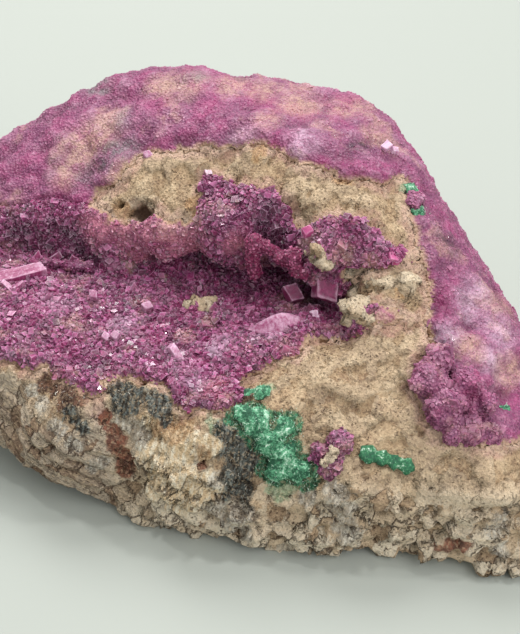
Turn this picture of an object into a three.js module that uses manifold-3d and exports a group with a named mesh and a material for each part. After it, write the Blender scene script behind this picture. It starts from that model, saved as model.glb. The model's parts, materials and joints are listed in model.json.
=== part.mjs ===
// Cobaltoan dolomite cluster: a hand-sized broken block of sandy dolomite, higher at the back than at the
// front. A bank along the back overhangs a shelf, with a slit between them. Pink crystal crusts grow on the
// shelf, on the bank and over the outside, and small green malachite growths sit where the stone is bare.
// Millimetres, +Z up. The block rests on its flat underside. +Y runs from the broken front to the bank.
import * as THREE from "three";
import { ConvexHull } from "three/addons/math/ConvexHull.js";
import { ImprovedNoise } from "three/addons/math/ImprovedNoise.js";
import { MeshSurfaceSampler } from "three/addons/math/MeshSurfaceSampler.js";
import { mergeVertices } from "three/addons/utils/BufferGeometryUtils.js";
import Module from "manifold-3d";

const wasm = await Module();
wasm.setup();

// ---- Driving dimensions -------------------------------------------------------------------------

const GAP = 0.3; // left between two pieces that touch
const CRUST = 1.5; // thickness of a druse under its crystals
const CRUST_RIM = 0.6; // and at its rim, as a share of that
const SUNK = 1; // how far a crust reaches into the stone before the stone is cut out of it
const EDGE_ROUNDING = 0.7; // of the block's broken edges
const ROUNDINGS = { wall: 4, bank: 2.5, hollow: 2, slit: 1, pit: 1 }; // of the joins and cuts below
const UNDERSIDE = 0.5; // stone lower than this is pressed flat
const CELL = 2.8; // spacing of the net that the stone's surface is drawn on
const FLATNESS = 0.2; // stone that is flatter than this over several cells is drawn with fewer triangles
const FINEST = 0.1; // detail of the growths that is smaller than this is dropped
const FOOTPRINT_CENTRE = [-2.9, 8.1]; // of the finished cluster, where the part's origin goes

// Corners of the block, before the hollow is taken out of it.
const CORNERS = {
  base: [
    [-13, -18.5, -1], [-3, -22.3, -1], [20, -24.2, -1], [36, -25.7, -1], [43, -18, -1],
    [42, 4, -1], [30, 20, -1], [0, 34, -1], [-26, 31, -1], [-33, 8, -1],
  ],
  undercutLeft: [
    [-24, -14.4, 3.2], [-34.5, -9.8, 5.4], [-44, -4, 9], [-47, 6, 11], [-48, 24, 11],
  ],
  frontEdge: [[-45, 1, 17.5], [-33.4, -4, 17.5], [-18.4, -11.2, 18], [-4, -14.4, 18.5]],
  apron: [[5, -20, 9.5], [17, -20.2, 9.5], [24, -17.5, 14.5], [33, -17, 10.5], [44, -15, 6]],
  rightFace: [
    [21, -10.5, 20.4], [21.4, -3.4, 24], [23.8, 24.5, 26.2], [27.2, 21, 21.2],
    [32.4, 15.8, 14.2], [37.4, 11.6, 7.6],
  ],
  crest: [
    [18, 13, 32.5], [12.5, 13, 35.5], [2.6, 16, 36.8], [-8, 19, 35],
    [18.7, 28, 34], [12, 31.5, 36.6], [0.3, 32, 37.6], [-9.5, 37.5, 37.2],
    [-22, 41.5, 34.6], [-31.5, 38.5, 30.8], [-39.5, 35.5, 25], [-48, 31, 20.5],
  ],
};

// The hollow is the space in front of all of these faces, each given by three points on it.
const HOLLOW_FACES = {
  shelf: [[-33, -5, 17], [-4, -15, 17.6], [-10, 12, 17.4]],
  apronTop: [[-1, -9, 17.8], [10, -9, 22], [12, 0, 22.6]],
  bankLeft: [[-33, 19, 18], [5, 7, 19], [-5, 11.5, 31]],
  bankRight: [[5, 7, 19], [11, -2, 19], [13.5, 4, 28]],
};

// A sloping ledge along the top of the bank is cut above its slope and its sill, and ends on the right.
const LEDGE_FACES = {
  slope: [[-20.7, 16.5, 26], [0, 11, 31.5], [2.6, 16, 35.8]],
  sill: [[-40, 20, 22], [0, 0, 24], [0, 20, 24]],
  end: [[15, 0, 30], [17, 12, 30], [15, 0, 36]],
};

// The slit under the bank: points along its mouth, with how far it reaches in and half its height at each.
const SLIT = [
  { at: [-22, 17.5, 19.6], reach: 2.2, half: 0.9 },
  { at: [-12, 13.6, 20.2], reach: 5.5, half: 2 },
  { at: [-2, 11, 20.6], reach: 7, half: 2.6 },
  { at: [5.5, 7.6, 20.8], reach: 6, half: 3 },
  { at: [9.5, 1, 21], reach: 4, half: 2.4 },
  { at: [11.5, -3.5, 21.4], reach: 2.2, half: 1.2 },
];
const SLIT_INWARD = [0.42, 0.9, 0.1];

// Swellings and pits of the stone, each a ball joined to it or cut from it.
const BANK_SWELLINGS = [
  { at: [-4, 11.5, 26.5], radius: 3.6 },
  { at: [-13, 14.5, 24], radius: 3.6 },
  { at: [10, 7, 27], radius: 4.2 },
  { at: [12.6, -2.4, 22.6], radius: 2.4 },
];
const WALL_SWELLINGS = [
  { at: [28, -16, 7], radius: 7.2 },
  { at: [12, -16, 8], radius: 6.5 },
  { at: [-7, -14, 8.5], radius: 6.5 },
  { at: [-24, -8, 9], radius: 6.5 },
  { at: [-39, 1.5, 12.5], radius: 4.8 },
];
const PITS = [{ at: [-15.5, 16, 27], radius: 1.6 }];

// Long and short waves of the broken surface.
const WAVES = [
  { length: 13, height: 0.9 },
  { length: 6, height: 0.55 },
];

// Bare sandy stone in plan: a band along the bank's top, which turns down its right end, and the apron below.
const BARE_BAND = [
  [-22.5, 18.5], [-16, 22.5], [-8, 19.7], [0, 18], [5.5, 14], [12, 12.2], [19.5, 11.7], [22.2, 4],
  [22, -3], [14, -4], [11, 2.5], [15, 5.5], [11, 8.2], [5.5, 8.2], [1, 13.6], [-6, 16.4], [-8, 11.7],
  [-14, 13.5], [-19, 15.4],
];
const BARE_APRON = [
  [-2.5, -8], [4, -5.5], [10, -2.5], [14, -4], [22, -3], [20.5, -6], [18.3, -10.8], [20, -14.6],
  [23.5, -17], [33, -14.8], [50, -13], [50, -40], [-4, -40],
];

// Where the two druses grow: how low on the block, and the least upward share of the stone's normal there.
const POCKET_DRUSE = { lowest: 15.6, leastUp: -0.6 };
const RIM_DRUSE = { lowest: 9, leastUp: 0.32 };
const HOLLOW_REACH = 2.4; // stone this near the hollow's faces still belongs to it
const SLIT_CLEARANCE = 0.4; // of the pocket's crust from the slit
const MALACHITE_CLEARANCE = 1; // of both crusts from a malachite lump

// Height of a dolomite rhomb over a cube's, when both stand on a corner.
const RHOMB_FLATNESS = 0.83;

// Crystals scattered on each druse: how many, and the edge length of the smallest and the largest.
const CRYSTAL_CLEARANCE = 1; // between two of them
const TRIES = 30; // places that may be tried for each
const POCKET_SCATTER = { count: 34, smallest: 1.5, largest: 2.8, seed: 11 };
const RIM_SCATTER = { count: 30, smallest: 1.4, largest: 2.4, seed: 23 };

// Single large crystals of the pocket: a point of the stone by each, the height of its centre over the stone,
// its size along its own axes, and its turn in degrees.
const LARGE_CRYSTALS = {
  longCurved: { near: [2.2, 0.4, 19], height: 2.2, size: [6.4, 2.4, 3], turn: [28, 8, -8] },
  slitEnd: { near: [8.4, 3.4, 20.6], height: 2.4, size: [3.6, 3.4, 3], turn: [10, 25, 40] },
  paleLeft: { near: [-34, 13.6, 17], height: 2.2, size: [5.2, 2.6, 2.6], turn: [20, -12, 25] },
};
const FINGER = { at: [-1.3, 8.4, 24.4], radius: 0.8, length: 6 }; // a column that hangs at the slit's mouth

// Round growths seated on the stone: a point of the stone by each lump, and its radius.
const LUMP_SUNK = 0.45; // of a lump's radius is below the surface
const RIM_KNOBS = [
  { near: [20.6, -12.2, 19.4], radius: 3.2 },
  { near: [24.2, -13.6, 17.4], radius: 3.2 },
  { near: [27.2, -14.6, 15], radius: 2.8 },
];
const ISLET = [
  { near: [7.6, -17.4, 14], radius: 2.2 },
  { near: [9.8, -17, 15], radius: 2.4 },
  { near: [9, -18.6, 13], radius: 2.2 },
];
const MALACHITE = {
  malachite_patch: [
    { near: [-2.2, -14.2, 17.6], radius: 1.7 },
    { near: [-0.4, -15.6, 17.2], radius: 2.3 },
    { near: [1, -17, 15.6], radius: 2.4 },
    { near: [2.9, -17.8, 14], radius: 2.6 },
    { near: [2, -18.6, 12.2], radius: 2.2 },
    { near: [4.8, -18.7, 12.2], radius: 2.3 },
    { near: [3.2, -16, 17], radius: 1.8 },
  ],
  malachite_tuft: [
    { near: [-1.4, -11, 18], radius: 1.5 },
    { near: [0.4, -11.8, 18.3], radius: 1.7 },
  ],
  malachite_stick: [
    { near: [12.9, -18.1, 14.2], radius: 1.7 },
    { near: [14.5, -18.3, 13.9], radius: 1.6 },
    { near: [16.1, -18.6, 13.5], radius: 1.6 },
    { near: [17.7, -18.9, 13.1], radius: 1.7 },
  ],
  malachite_right: [
    { near: [30.8, -11.4, 15], radius: 1.7 },
    { near: [32.6, -11, 14.2], radius: 1.5 },
  ],
  malachite_ridge: [
    { near: [19.9, 13.6, 31.4], radius: 1.7 },
    { near: [20.2, 11.9, 30.8], radius: 1.7 },
    { near: [20.8, 10.2, 30], radius: 1.8 },
  ],
};

// ---- The stone as a field: negative inside, and about a distance in millimetres -----------------

const vector = (xyz) => new THREE.Vector3(...xyz);
const AXES = [vector([1, 0, 0]), vector([0, 1, 0]), vector([0, 0, 1])];

// Outward planes of the convex hull of some points, each one kept once.
function hullPlanes(points) {
  const planes = [];
  for (const face of new ConvexHull().setFromPoints(points.map(vector)).faces) {
    const plane = new THREE.Plane().setFromNormalAndCoplanarPoint(face.normal, face.midpoint);
    const known = planes.some((other) => other.normal.dot(plane.normal) > 0.999);
    if (!known) planes.push(plane);
  }
  return planes;
}

// Planes through three points each, turned so that `inside` is on their negative side.
function planesAround(faces, inside) {
  return Object.values(faces).map((points) => {
    const plane = new THREE.Plane().setFromCoplanarPoints(...points.map(vector));
    return plane.distanceToPoint(inside) > 0 ? plane.negate() : plane;
  });
}

// How far a point is outside the space behind some planes, and negative inside it.
const outside = (planes, p) => Math.max(...planes.map((plane) => plane.distanceToPoint(p)));

// Maximum and minimum with their crease rounded over `width`.
function roundMax(a, b, width) {
  const overlap = Math.max(width - Math.abs(a - b), 0) / width;
  return Math.max(a, b) + (overlap * overlap * width) / 4;
}
const roundMin = (a, b, width) => -roundMax(-a, -b, width);

const BLOCK = hullPlanes(Object.values(CORNERS).flat());
const HOLLOW = planesAround(HOLLOW_FACES, new THREE.Vector3(-10, -10, 40));
const LEDGE = planesAround(LEDGE_FACES, new THREE.Vector3(0, 5, 45));

const ripple = new ImprovedNoise();
const RIPPLE_START = [7, 3, 11];
function wave(p, { length, height }) {
  const [x, y, z] = p.toArray().map((value, axis) => value / length + RIPPLE_START[axis]);
  return height * ripple.noise(x, y, z);
}

function blockField(p) {
  const farInside = -1e3;
  return BLOCK.reduce((most, plane) => roundMax(most, plane.distanceToPoint(p), EDGE_ROUNDING), farInside);
}

// The slit is a flattened tube along its mouth: deep inwards and low upwards.
function slitField(p) {
  const inward = vector(SLIT_INWARD).normalize();
  const closest = new THREE.Vector3();
  let nearest = Infinity;
  for (let i = 1; i < SLIT.length; i++) {
    const line = new THREE.Line3(vector(SLIT[i - 1].at), vector(SLIT[i].at));
    const along = line.closestPointToPointParameter(p, true);
    line.at(along, closest);
    const reach = THREE.MathUtils.lerp(SLIT[i - 1].reach, SLIT[i].reach, along);
    const half = THREE.MathUtils.lerp(SLIT[i - 1].half, SLIT[i].half, along);
    const offset = p.clone().sub(closest);
    const deep = offset.dot(inward);
    offset.addScaledVector(inward, -deep);
    nearest = Math.min(nearest, (Math.hypot(deep / reach, offset.length() / half) - 1) * half);
  }
  return nearest;
}

const ballField = (p, { at, radius }) => p.distanceTo(vector(at)) - radius;

function stoneField(p) {
  let field = blockField(p);
  for (const ball of WALL_SWELLINGS) field = roundMin(field, ballField(p, ball), ROUNDINGS.wall);
  field = roundMax(field, -outside(HOLLOW, p), ROUNDINGS.hollow);
  field = roundMax(field, -outside(LEDGE, p), ROUNDINGS.hollow);
  for (const ball of BANK_SWELLINGS) field = roundMin(field, ballField(p, ball), ROUNDINGS.bank);
  field = roundMax(field, -slitField(p), ROUNDINGS.slit);
  for (const ball of PITS) field = roundMax(field, -ballField(p, ball), ROUNDINGS.pit);
  for (const each of WAVES) field += wave(p, each);
  return Math.max(field, -p.z);
}

// The slope of a field at a point.
function slope(field, p) {
  const step = 0.05;
  const along = (axis) => {
    const ahead = p.clone().addScaledVector(axis, step);
    const behind = p.clone().addScaledVector(axis, -step);
    return (field(ahead) - field(behind)) / (2 * step);
  };
  return vector(AXES.map(along));
}

// Moves a point that is near a field's surface onto it, in a few pulls of at most `reach`.
function pullOnto(field, point, pulls, reach) {
  const flattest = 0.3; // keeps a pull short where the field hardly changes
  for (let pull = 0; pull < pulls; pull++) {
    const gradient = slope(field, point);
    const travel = field(point) / Math.max(gradient.lengthSq(), flattest);
    point.addScaledVector(gradient, -THREE.MathUtils.clamp(travel, -reach, reach));
  }
  return point;
}

// The middle of some points.
function meanOf(points) {
  return points.reduce((sum, point) => sum.add(point), new THREE.Vector3()).divideScalar(points.length);
}

// ---- Nets: points, and triangles of their indices -----------------------------------------------

// A field sampled on a grid.
function sampled(field, box, cell) {
  const count = box.getSize(new THREE.Vector3()).divideScalar(cell).ceil().addScalar(1);
  const index = ([x, y, z]) => x + count.x * (y + count.y * z);
  const corner = (xyz) => vector(xyz).multiplyScalar(cell).add(box.min);
  const values = new Float64Array(count.x * count.y * count.z);
  const each = (first, last, visit) => {
    for (let z = first; z < count.z - last; z++)
      for (let y = first; y < count.y - last; y++)
        for (let x = first; x < count.x - last; x++) visit([x, y, z]);
  };
  each(0, 0, (at) => (values[index(at)] = field(corner(at))));
  return { values, index, corner, each };
}

// The zero surface of a field as a closed net: one vertex in each grid cell that it crosses, and a quad
// across each grid edge that it crosses.
function netSurface(field, box, cell) {
  const { values, index, corner, each } = sampled(field, box, cell);
  const steps = [[1, 0, 0], [0, 1, 0], [0, 0, 1]];
  const plus = (a, b) => a.map((value, i) => value + b[i]);
  const crossing = (start, end) => {
    const [a, b] = [values[index(start)], values[index(end)]];
    return a < 0 === b < 0 ? null : corner(start).lerp(corner(end), a / (a - b));
  };

  const vertexOf = new Map();
  const points = [];
  each(0, 1, (at) => {
    const crossings = [];
    for (const [i, step] of steps.entries())
      for (const [u, v] of [[0, 0], [1, 0], [0, 1], [1, 1]]) {
        const start = [...at];
        start[(i + 1) % 3] += u;
        start[(i + 2) % 3] += v;
        crossings.push(crossing(start, plus(start, step)));
      }
    const found = crossings.filter(Boolean);
    if (!found.length) return;
    vertexOf.set(index(at), points.length);
    const middle = meanOf(found);
    points.push(pullOnto(field, middle, 2, cell / 3));
  });

  const triangles = [];
  each(1, 1, (at) => {
    for (const [i, step] of steps.entries()) {
      if (!crossing(at, plus(at, step))) continue;
      // The four cells around this edge, in turn about its axis.
      const [acrossB, acrossC] = [steps[(i + 1) % 3], steps[(i + 2) % 3]];
      const around = [[0, 0], [1, 0], [1, 1], [0, 1]].map(([m, n]) =>
        vertexOf.get(index(at.map((value, axis) => value - m * acrossB[axis] - n * acrossC[axis]))),
      );
      const [p, q, r, s] = values[index(at)] < 0 ? around : around.reverse();
      const shorter = points[p].distanceTo(points[r]) < points[q].distanceTo(points[s]);
      if (shorter) triangles.push([p, q, r], [p, r, s]);
      else triangles.push([q, r, s], [q, s, p]);
    }
  });
  return { points, triangles };
}

const centreOf = ({ points }, face) => meanOf(face.map((v) => points[v]));

const edgeKey = (a, b) => (a < b ? `${a},${b}` : `${b},${a}`);
const edgesOf = (face) => face.map((from, i) => [from, face[(i + 1) % 3]]);

// The triangles on each edge.
function facesByEdge(faces) {
  const byEdge = new Map();
  for (const face of faces)
    for (const [from, to] of edgesOf(face)) {
      const key = edgeKey(from, to);
      byEdge.set(key, [...(byEdge.get(key) ?? []), face]);
    }
  return byEdge;
}

// The neighbours along the rim of each vertex on the rim of some triangles.
function rimNeighbours(faces) {
  const rim = new Map();
  for (const [key, on] of facesByEdge(faces)) {
    if (on.length !== 1) continue;
    const [a, b] = key.split(",").map(Number);
    rim.set(a, [...(rim.get(a) ?? []), b]);
    rim.set(b, [...(rim.get(b) ?? []), a]);
  }
  return rim;
}

// The largest joined sheet of the triangles where `grows` holds, filled out where it hangs by one vertex.
function largestSheet(triangles, grows) {
  const chosen = new Set(triangles.filter(grows));
  for (;;) {
    const crowded = [...rimNeighbours(chosen)].filter(([, near]) => near.length > 2);
    const pinched = new Set(crowded.map(([v]) => v));
    if (!pinched.size) break;
    for (const face of triangles) if (face.some((v) => pinched.has(v))) chosen.add(face);
  }
  const byEdge = facesByEdge(chosen);
  const sheets = [];
  while (chosen.size) {
    const sheet = [chosen.values().next().value];
    chosen.delete(sheet[0]);
    for (const face of sheet)
      for (const [from, to] of edgesOf(face))
        for (const next of byEdge.get(edgeKey(from, to))) if (chosen.delete(next)) sheet.push(next);
    sheets.push(sheet);
  }
  return sheets.reduce((most, sheet) => (sheet.length > most.length ? sheet : most));
}

// ---- Solids -------------------------------------------------------------------------------------

function solidOf(geometry) {
  const bare = new THREE.BufferGeometry().setAttribute("position", geometry.getAttribute("position"));
  const merged = mergeVertices(bare.setIndex(geometry.index), 1e-4);
  const vertProperties = new Float32Array(merged.attributes.position.array);
  const triVerts = new Uint32Array(merged.index.array);
  return new wasm.Manifold(new wasm.Mesh({ numProp: 3, vertProperties, triVerts }));
}

const solidOfNet = ({ points, triangles }) =>
  solidOf(new THREE.BufferGeometry().setFromPoints(points).setIndex(triangles.flat()));

function geometryOf(solid) {
  const { vertProperties, triVerts } = solid.getMesh();
  const position = new THREE.BufferAttribute(vertProperties, 3);
  const geometry = new THREE.BufferGeometry().setAttribute("position", position);
  return geometry.setIndex(new THREE.BufferAttribute(triVerts, 1));
}

function netOf(solid) {
  const { vertProperties, triVerts } = solid.getMesh();
  const threes = (values) =>
    Array.from({ length: values.length / 3 }, (_, i) => [...values.slice(3 * i, 3 * i + 3)]);
  return { points: threes(vertProperties).map(vector), triangles: threes(triVerts) };
}

// The largest of the separate solids that a cut may have left.
function mainBody(solid) {
  return solid.decompose().reduce((most, each) => (each.volume() > most.volume() ? each : most));
}

// ---- Growths: each maker swells its solid by `extra` all round ----------------------------------

// A closed crust on a sheet of a net's triangles, from SUNK inside the stone to CRUST outside it.
function crust({ points }, normals, sheet, extra) {
  const rim = rimNeighbours(sheet);
  const inwards = new Map([...rim.keys()].map((v) => [v, new THREE.Vector3()]));
  for (const face of sheet)
    for (const v of face) inwards.get(v)?.add(centreOf({ points }, face).sub(points[v]));

  // The rim is evened out along itself, and drawn in by the gap.
  const at = (v, height) => {
    const point = points[v].clone();
    if (rim.has(v)) {
      const [before, after] = rim.get(v).map((w) => points[w]);
      point.lerp(before.clone().lerp(after, 0.5), 0.5);
      point.addScaledVector(inwards.get(v).clone().normalize(), GAP - extra);
    }
    return point.addScaledVector(normals[v], height);
  };

  const used = [...new Set(sheet.flat())];
  const place = new Map(used.map((v, i) => [v, i]));
  const top = used.map((v) => at(v, GAP + extra + (rim.has(v) ? CRUST_RIM : 1) * CRUST));
  const bottom = used.map((v) => at(v, -SUNK));
  const under = used.length;
  const triangles = [];
  for (const face of sheet) {
    const [a, b, c] = face.map((v) => place.get(v));
    triangles.push([a, b, c], [under + c, under + b, under + a]);
  }
  const byEdge = facesByEdge(sheet);
  for (const face of sheet)
    for (const [from, to] of edgesOf(face)) {
      if (byEdge.get(edgeKey(from, to)).length !== 1) continue;
      const [a, b] = [place.get(from), place.get(to)];
      triangles.push([a, under + a, under + b], [a, under + b, b]);
    }
  return solidOfNet({ points: [...top, ...bottom], triangles });
}

// A dolomite rhomb: a cube turned to stand on a corner and flattened, then sized along its own axes.
function crystal({ at, size, turn }, extra) {
  const onCorner = new THREE.Quaternion().setFromUnitVectors(vector([1, 1, 1]).normalize(), AXES[2]);
  const [x, y, z] = size.map((length) => length + 2 * extra);
  const rhomb = new THREE.BoxGeometry(1, 1, 1).applyQuaternion(onCorner).scale(x, y, z * RHOMB_FLATNESS);
  const [turnX, turnY, turnZ] = turn.map(THREE.MathUtils.degToRad);
  const turned = new THREE.Quaternion().setFromEuler(new THREE.Euler(turnX, turnY, turnZ));
  return solidOf(rhomb.applyQuaternion(turned).translate(...at));
}

// The point of the stone's surface by `near`, moved `height` out of it.
function seat(near, height) {
  const point = pullOnto(stoneField, vector(near), 4, 2);
  return point.addScaledVector(slope(stoneField, point).normalize(), height);
}

function lump({ near, radius }, extra) {
  const centre = seat(near, GAP - LUMP_SUNK * radius);
  return solidOf(new THREE.DodecahedronGeometry(radius + extra, 0).rotateX(radius).translate(...centre));
}

function finger({ at, radius, length }, extra) {
  const column = new THREE.CylinderGeometry(radius + extra, 0.7 * radius + extra, length + 2 * extra, 8);
  return solidOf(column.rotateX(Math.PI / 2).translate(...at));
}

// Pseudo-random numbers from 0 to 1, the same on every run.
function seeded(seed) {
  let state = seed;
  return () => {
    state = (Math.imul(state, 1664525) + 1013904223) >>> 0;
    return state / 2 ** 32;
  };
}

// Crystals scattered evenly on a sheet, each one half sunk, turned at random and clear of the others.
function scattered({ points }, sheet, { count, smallest, largest, seed }) {
  const random = seeded(seed);
  const surface = new THREE.BufferGeometry().setFromPoints(sheet.flat().map((v) => points[v]));
  const sampler = new MeshSurfaceSampler(new THREE.Mesh(surface)).setRandomGenerator(random).build();
  const crystals = [];
  for (let tries = 0; crystals.length < count && tries < count * TRIES; tries++) {
    const centre = new THREE.Vector3();
    const outwards = new THREE.Vector3();
    sampler.sample(centre, outwards);
    centre.addScaledVector(outwards, GAP + CRUST);
    const edge = THREE.MathUtils.lerp(smallest, largest, random() ** 2);
    const turn = [random() * 360, random() * 360, random() * 360];
    const crowded = crystals.some(
      ({ at, size }) => centre.distanceTo(vector(at)) < (edge + size[0]) / 2 + CRYSTAL_CLEARANCE,
    );
    if (!crowded) crystals.push({ at: centre.toArray(), size: [edge, edge, edge], turn });
  }
  return crystals;
}

// Whether a point is inside an outline in plan.
function insideOutline(outline, { x, y }) {
  let inside = false;
  outline.forEach(([ax, ay], i) => {
    const [bx, by] = outline[(i + 1) % outline.length];
    if (ay > y !== by > y && x < ax + ((y - ay) * (bx - ax)) / (by - ay)) inside = !inside;
  });
  return inside;
}

// ---- The object ---------------------------------------------------------------------------------

const stoneBox = new THREE.Box3(new THREE.Vector3(-54, -32, -4), new THREE.Vector3(52, 48, 46));
const fullNet = netSurface(stoneField, stoneBox, CELL);
for (const point of fullNet.points) if (point.z < UNDERSIDE) point.z = 0;
const stone = mainBody(solidOfNet(fullNet).simplify(FLATNESS));
const net = netOf(stone);
const normals = net.points.map((point) => slope(stoneField, point).normalize());
const swollen = net.points.map((point, i) => point.clone().addScaledVector(normals[i], GAP));
const swollenStone = solidOfNet({ points: swollen, triangles: net.triangles });

// A triangle of the stone as a place for a druse, which has to be free of bare stone and of malachite.
const malachiteLumps = Object.values(MALACHITE).flat();
function site(face) {
  const centre = centreOf(net, face);
  const up = face.reduce((sum, v) => sum + normals[v].z, 0) / 3;
  const bare = insideOutline(BARE_BAND, centre) || insideOutline(BARE_APRON, centre);
  const crowded = malachiteLumps.some(
    ({ near, radius }) => centre.distanceTo(vector(near)) < radius + MALACHITE_CLEARANCE,
  );
  return { centre, up, free: !bare && !crowded, inHollow: outside(HOLLOW, centre) < HOLLOW_REACH };
}

function pocketGrows(face) {
  const { centre, up, free, inHollow } = site(face);
  const reached = up > POCKET_DRUSE.leastUp && centre.z > POCKET_DRUSE.lowest;
  return free && inHollow && reached && slitField(centre) > SLIT_CLEARANCE;
}

function rimGrows(face) {
  const { centre, up, free, inHollow } = site(face);
  return free && !inHollow && up > RIM_DRUSE.leastUp && centre.z > RIM_DRUSE.lowest;
}

// Adds a piece from the solids that `grow` gives, cut clear of the stone and of every piece before it.
const pieces = { host_stone: stone };
let taken = stone.add(swollenStone);
function addPiece(name, grow) {
  pieces[name] = mainBody(wasm.Manifold.union(grow(0)).subtract(taken).simplify(FINEST));
  taken = wasm.Manifold.union([taken, pieces[name], ...grow(GAP)]);
}

// Adds a druse where `grows` holds: its crust, its scattered crystals, and what `grow` gives besides.
function addDruse(name, grows, scatter, grow) {
  const sheet = largestSheet(net.triangles, grows);
  const crystals = scattered(net, sheet, scatter);
  addPiece(name, (extra) => [
    crust(net, normals, sheet, extra),
    ...crystals.map((each) => crystal(each, extra)),
    ...grow(extra),
  ]);
}

const allLumps = (places) => (extra) => places.map((each) => lump(each, extra));
const seated = ({ near, height, ...rest }) => ({ ...rest, at: seat(near, height) });
const largeCrystals = Object.values(LARGE_CRYSTALS).map(seated);

for (const [name, places] of Object.entries(MALACHITE)) addPiece(name, allLumps(places));
addPiece("islet_druse", allLumps(ISLET));
addDruse("pocket_druse", pocketGrows, POCKET_SCATTER, (extra) => [
  ...largeCrystals.map((each) => crystal(each, extra)),
  finger(FINGER, extra),
]);
addDruse("rim_druse", rimGrows, RIM_SCATTER, allLumps(RIM_KNOBS));

const FINISH = {
  host_stone: { color: 0xb29c78, roughness: 0.95 },
  pocket_druse: { color: 0x9b4f7e, roughness: 0.35 },
  rim_druse: { color: 0xb06a90, roughness: 0.45 },
  islet_druse: { color: 0xb05a85, roughness: 0.35 },
  malachite: { color: 0x2f8a55, roughness: 0.7 },
};

const cluster = new THREE.Group();
for (const [name, solid] of Object.entries(pieces)) {
  const finish = new THREE.MeshStandardMaterial({ ...(FINISH[name] ?? FINISH.malachite), metalness: 0 });
  const [x, y] = FOOTPRINT_CENTRE;
  const mesh = new THREE.Mesh(geometryOf(solid.translate(-x, -y, 0)), finish);
  mesh.name = name;
  cluster.add(mesh);
}

export default cluster;
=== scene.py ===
"""Looks of a cobaltoan dolomite cluster: pink crystal crusts and malachite on broken sandy dolomite."""
import itertools
import json
import math

import bmesh
import bpy
import numpy as np
from mathutils import Matrix, Vector, noise
from mathutils.bvhtree import BVHTree

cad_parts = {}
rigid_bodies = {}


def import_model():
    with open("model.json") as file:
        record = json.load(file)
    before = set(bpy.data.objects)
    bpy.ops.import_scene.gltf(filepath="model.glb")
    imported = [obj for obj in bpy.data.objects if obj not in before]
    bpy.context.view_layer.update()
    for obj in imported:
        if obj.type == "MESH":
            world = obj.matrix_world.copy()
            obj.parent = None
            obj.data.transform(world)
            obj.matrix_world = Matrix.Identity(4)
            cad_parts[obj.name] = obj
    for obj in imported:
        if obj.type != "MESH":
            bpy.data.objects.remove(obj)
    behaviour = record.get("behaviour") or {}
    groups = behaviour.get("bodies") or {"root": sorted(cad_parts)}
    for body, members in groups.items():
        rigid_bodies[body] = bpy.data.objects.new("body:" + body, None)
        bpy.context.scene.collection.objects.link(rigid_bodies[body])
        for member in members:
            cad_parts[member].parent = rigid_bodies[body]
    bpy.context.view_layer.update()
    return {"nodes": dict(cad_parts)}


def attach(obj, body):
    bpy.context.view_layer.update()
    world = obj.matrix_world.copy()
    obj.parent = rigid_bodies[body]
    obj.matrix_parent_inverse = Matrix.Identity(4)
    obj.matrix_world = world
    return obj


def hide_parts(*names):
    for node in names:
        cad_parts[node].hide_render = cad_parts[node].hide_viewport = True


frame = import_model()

# ---- Sizes and places, in millimetres in the part's own frame ----

MM = 0.001

STONE_CELL = 0.47  # spacing of the stone's fine surface
GROWTH_CELL = 0.28  # and of the small growths' surfaces
STONE_WEAR = 5  # rounds of smoothing that wear down the stone's creases
GROWTH_WEAR = 2
CAD_WELD = 0.01  # corners of a CAD node that are nearer than this are one
CRUST_WELD = 0.001  # and where a crust's two sides meet

DIP = 0.55  # how steeply the stone's layers fall to the left, left of the middle
LEDGE_HEIGHT = 2.4  # of the steps that they break in
CHIP_SIZE = 4.2
CRUMB_SIZE = 2.2

# The relief of the stone, and that of the lumps and the growths, which are worn in the same way.
NO_RELIEF = dict.fromkeys(("Ledge", "Chip", "Crumb", "Grain", "Pit"), 0)
STONE_RELIEF = {"Ledge": 0.6, "Chip": 1.2, "Crumb": 2, "Grain": 0.8, "Pit": 1.8}
LUMP_RELIEF = NO_RELIEF | {"Crumb": 1, "Grain": 0.7}
GROWTH_RELIEF = NO_RELIEF | {"Chip": 0.35, "Grain": 0.5}

# A druse's crust: how far it stands over the stone and reaches into it, and how far its small and its wide
# waves rise and fall.
POCKET_CRUST = {"Thickness": 1.1, "Sunk": 0.5, "Lump": 0.9, "Swell": 0.8}
RIM_CRUST = {"Thickness": 1.1, "Sunk": 0.5, "Lump": 1.1, "Swell": 1.8}
CRUST_EDGE = 0.15  # the cover at which a crust begins

# Bare sandy stone in plan. The band lies along the bank and turns down its right end, where a ledge ends it,
# and both are over the hollow. The front is all that lies before the shelf's broken edge and, right of it,
# before the top of the sandy slope.
BARE_BAND = [
    (-20.1, 10.3), (-19.6, 11.6), (-16.8, 11), (-14.8, 12.2), (-13.2, 14), (-5.2, 11.6), (2.6, 10),
    (4.8, 8.6), (8.2, 5.3), (13.4, 3.6), (18.7, 3.7), (22, 6.5), (22.2, 4.8), (22, 1.5), (22.7, -2.4),
    (23, -4.4), (21.8, -4.5), (19.5, -3.2), (17.4, -3.2), (16.7, -1), (12.8, -1.1), (8.4, -1.4),
    (7.2, 0.6), (6, 2.6), (4.8, 3.8), (3.8, 4.6), (1.8, 5.3), (-0.4, 6.8), (-2.4, 8.3), (-4.2, 8.6),
    (-5.4, 7.2), (-5.6, 2.6), (-7.4, 3.4), (-10.9, 5.4), (-14.6, 7), (-17.8, 8.2),
]
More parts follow.
